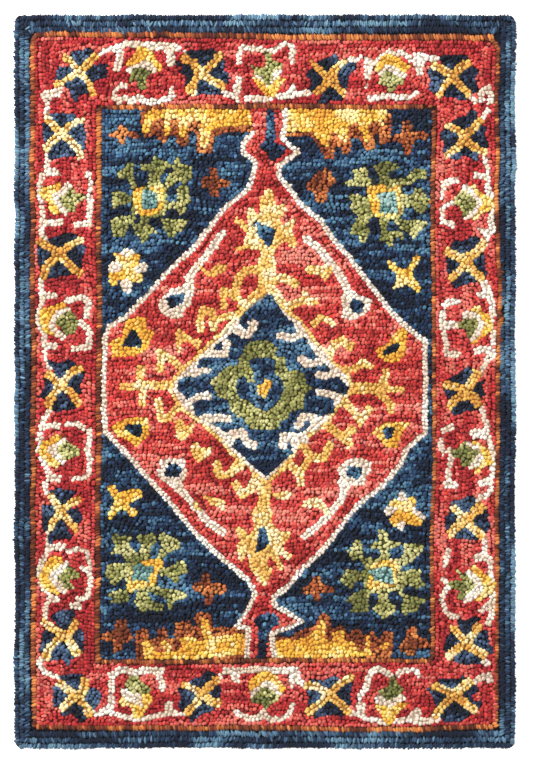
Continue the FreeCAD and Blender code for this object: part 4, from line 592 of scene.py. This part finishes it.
def yarn_material(slot):
    """Matt spun yarn: the dye of each loop with the painted shade of its creases and bed, its fibres, the twist of
    its plies with painted shade and highlight along it, and a soft sheen.
    """
    if slot in MATERIALS:
        return MATERIALS[slot]
    material, shader, add, link = new_material(slot + "_loops")
    dye_and_painted_shade = add("ShaderNodeAttribute", attribute_name="yarn")
    place = add("ShaderNodeTexCoord")
    strand = add("ShaderNodeUVMap", uv_map="strand")
    twist = add("ShaderNodeTexWave", {"Scale": 0.42, "Distortion": 1.2}, bands_direction="DIAGONAL")
    link(strand.outputs["UV"], twist.inputs["Vector"])
    fibre = add("ShaderNodeTexNoise", {"Scale": 900.0, "Detail": 3.0})
    link(place.outputs["Object"], fibre.inputs["Vector"])
    tint = add("ShaderNodeMapRange", {"To Min": 0.6, "To Max": 1.34})
    link(fibre.outputs["Fac"], tint.inputs["Value"])
    # painted shade and highlight along the twist: the colour darker and paler with the twist's bands
    ply_painted_light = add("ShaderNodeMapRange", {"To Min": 0.78, "To Max": 1.12})
    link(twist.outputs["Fac"], ply_painted_light.inputs["Value"])
    both = add("ShaderNodeMath", operation="MULTIPLY")
    link(tint.outputs["Result"], both.inputs[0])
    link(ply_painted_light.outputs["Result"], both.inputs[1])
    shade = add("ShaderNodeVectorMath", operation="SCALE")
    link(dye_and_painted_shade.outputs["Color"], shade.inputs[0])
    link(both.outputs["Value"], shade.inputs["Scale"])
    link(shade.outputs["Vector"], shader.inputs["Base Color"])
    rough = add("ShaderNodeMapRange", {"To Min": 0.74, "To Max": 0.95})
    link(fibre.outputs["Fac"], rough.inputs["Value"])
    link(rough.outputs["Result"], shader.inputs["Roughness"])
    relief = add("ShaderNodeMath", operation="ADD")
    link(twist.outputs["Fac"], relief.inputs[0])
    link(fibre.outputs["Fac"], relief.inputs[1])
    bump = add("ShaderNodeBump", {"Strength": 0.45, "Distance": 0.0004})
    link(relief.outputs["Value"], bump.inputs["Height"])
    link(bump.outputs["Normal"], shader.inputs["Normal"])
    shader.inputs["Specular IOR Level"].default_value = 0.25
    shader.inputs["Sheen Weight"].default_value = 0.12
    shader.inputs["Sheen Roughness"].default_value = 0.5
    MATERIALS[slot] = material
    return material


def sheet_material(name, dark, pale, scale, weave):
    """A backing sheet: felted fibres or plain weave, blotched and matt."""
    material, shader, add, link = new_material(name)
    place = add("ShaderNodeTexCoord")
    blot = add("ShaderNodeTexNoise", {"Scale": 38.0, "Detail": 4.0})
    fine = add("ShaderNodeTexNoise", {"Scale": scale, "Detail": 5.0, "Roughness": 0.7})
    link(place.outputs["Object"], blot.inputs["Vector"])
    link(place.outputs["Object"], fine.inputs["Vector"])
    height = fine.outputs["Fac"]
    if weave:
        cross = add("ShaderNodeMath", operation="MAXIMUM")
        for socket, direction in enumerate("XY"):
            thread = add("ShaderNodeTexWave", {"Scale": 170.0, "Distortion": 0.6}, bands_direction=direction)
            link(place.outputs["Object"], thread.inputs["Vector"])
            link(thread.outputs["Fac"], cross.inputs[socket])
        height = cross.outputs["Value"]
    mix = add("ShaderNodeMath", operation="MULTIPLY")
    link(blot.outputs["Fac"], mix.inputs[0])
    link(height, mix.inputs[1])
    ramp = add("ShaderNodeValToRGB")
    for stop, position, colour in zip(ramp.color_ramp.elements, (0.12, 0.5), (dark, pale)):
        stop.position = position
        stop.color = (*linear(colour), 1.0)
    link(mix.outputs["Value"], ramp.inputs["Fac"])
    link(ramp.outputs["Color"], shader.inputs["Base Color"])
    rough = add("ShaderNodeMapRange", {"To Min": 0.8, "To Max": 0.98})
    link(blot.outputs["Fac"], rough.inputs["Value"])
    link(rough.outputs["Result"], shader.inputs["Roughness"])
    bump = add("ShaderNodeBump", {"Strength": 0.6, "Distance": 0.0005})
    link(height, bump.inputs["Height"])
    link(bump.outputs["Normal"], shader.inputs["Normal"])
    shader.inputs["Specular IOR Level"].default_value = 0.2
    return material


# ---------------------------------------------------------------- the backing sheets
SHEET_RINGS = 26
SHEET_AROUND = 360
SHEET_BLOT = 24.0       # size of the unevenness along the sheet
FRAY = 0.25             # how far the cut edge is drawn in, in millimetres
EDGE_SOFT = 0.25        # how much thinner each face is at the cut edge, as a share of the sheet


def sheet_outline(half_x, half_y):
    """Points round a sheet with rounded corners and a softly frayed edge."""
    inner_x, inner_y = half_x - CORNER, half_y - CORNER
    edge = []
    for k in range(SHEET_AROUND):
        angle = 2 * math.pi * k / SHEET_AROUND
        dx, dy = math.cos(angle), math.sin(angle)
        reach = min(half_x / max(abs(dx), 1e-9), half_y / max(abs(dy), 1e-9))
        x, y = dx * reach, dy * reach
        if abs(x) > inner_x and abs(y) > inner_y:
            away = math.hypot(abs(x) - inner_x, abs(y) - inner_y)
            x = math.copysign(inner_x + (abs(x) - inner_x) * CORNER / away, x)
            y = math.copysign(inner_y + (abs(y) - inner_y) * CORNER / away, y)
        fray = 1.0 - abs(rng.normal(0, FRAY)) / math.hypot(x, y)
        edge.append((x * fray, y * fray))
    return edge


def backing_sheet(node, uneven, material):
    """A backing layer: two slightly uneven faces of rings, closed along the cut edge; and its flat size."""
    low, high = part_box(node)
    half_x, half_y = high.x / MM, high.y / MM
    base, top = low.z / MM, high.z / MM
    edge = sheet_outline(half_x, half_y)
    wave = smooth_noise(SHEET_BLOT, SHEET_BLOT, len(node))
    points = []
    for face, sign in ((top, 1.0), (base, -1.0)):
        for ring in range(SHEET_RINGS, 0, -1):
            share = ring / SHEET_RINGS
            soft = EDGE_SOFT * (top - base) if ring == SHEET_RINGS else 0.0
            for x, y in edge:
                px, py = x * share, y * share
                lift = (wave[int((py - BOTTOM) / CELL), int((px - LEFT) / CELL)] - 0.5) * uneven
                points.append((px, py, face - sign * (abs(lift) + soft)))
        points.append((0.0, 0.0, face))
    points = np.array(points)
    under = SHEET_RINGS * SHEET_AROUND + 1
    quads, tris = [], []
    for ring in range(SHEET_RINGS - 1):
        for k in range(SHEET_AROUND):
            a, b = ring * SHEET_AROUND + k, ring * SHEET_AROUND + (k + 1) % SHEET_AROUND
            c, d = b + SHEET_AROUND, a + SHEET_AROUND
            quads.append((a, b, c, d))
            quads.append((under + d, under + c, under + b, under + a))
    last = (SHEET_RINGS - 1) * SHEET_AROUND
    for k in range(SHEET_AROUND):
        c, d = k, (k + 1) % SHEET_AROUND
        a, b = last + c, last + d
        tris.append((a, b, under - 1))
        tris.append((under + b, under + a, 2 * under - 1))
        quads.append((under + c, under + d, d, c))
    colours = np.ones((len(points), 3))
    mesh = mesh_from("sheet_" + node, points, np.array(quads), np.array(tris), colours, points[:, :2])
    return show("sheet_" + node, mesh, node, material), (2 * half_x * MM, 2 * half_y * MM)


felt, felt_size = backing_sheet(
    "felt_backing", 0.16, sheet_material("felt_fibres", (118, 112, 104), (172, 166, 156), 700.0, False))
latex, latex_size = backing_sheet(
    "latex_coat", 0.1, sheet_material("latex_skin", (186, 178, 156), (226, 219, 198), 160.0, False))
cloth, cloth_size = backing_sheet(
    "foundation_cloth", 0.1, sheet_material("cloth_weave", (176, 160, 132), (222, 210, 184), 300.0, True))

for index, node in enumerate(PILE):
    build_patch(index, node)


# ---------------------------------------------------------------- floor, light and camera
def build_stage():
    """A plain pale floor."""
    bpy.ops.mesh.primitive_plane_add(size=12.0, location=(0.0, 0.0, 0.0))
    floor = bpy.context.object
    floor.name = "floor"
    material, shader, _, _ = new_material("floor_white")
    shader.inputs["Base Color"].default_value = (0.93, 0.93, 0.93, 1.0)
    shader.inputs["Roughness"].default_value = 0.9
    shader.inputs["Specular IOR Level"].default_value = 0.0
    shader.inputs["Emission Color"].default_value = (1.0, 1.0, 1.0, 1.0)
    shader.inputs["Emission Strength"].default_value = 0.6
    floor.data.materials.append(material)


def add_light(name, place, size, power):
    """A soft square light that faces the middle of the rug."""
    data = bpy.data.lights.new(name, "AREA")
    data.size = size
    data.energy = power
    lamp = bpy.data.objects.new(name, data)
    lamp.location = place
    lamp.rotation_euler = (-Vector(place)).to_track_quat("-Z", "Y").to_euler()
    bpy.context.scene.collection.objects.link(lamp)


def build_light():
    """Even studio light, a little stronger from the upper left."""
    world = bpy.data.worlds.new("studio")
    world.use_nodes = True
    background = world.node_tree.nodes["Background"]
    background.inputs["Color"].default_value = (1.0, 1.0, 1.0, 1.0)
    background.inputs["Strength"].default_value = 0.7
    bpy.context.scene.world = world
    add_light("key", (-1.8, 2.0, 1.9), 1.0, 112.0)
    add_light("fill", (1.8, -1.4, 2.6), 1.8, 18.0)


CAMERA_HEIGHT = 5.157               # metres above the pile
CAMERA_PLACE = (0.0018, -0.0006)    # metres from the middle of the rug


def build_camera():
    """Straight above the rug, from far off."""
    data = bpy.data.cameras.new("camera")
    data.lens = 200.0
    data.sensor_width = 36.0
    data.clip_end = 60.0
    camera = bpy.data.objects.new("camera", data)
    camera.location = (*CAMERA_PLACE, CAMERA_HEIGHT + PILE_TOP * MM)
    bpy.context.scene.collection.objects.link(camera)
    bpy.context.scene.camera = camera
    bpy.context.scene.view_settings.view_transform = "Standard"


build_stage()
build_light()
build_camera()
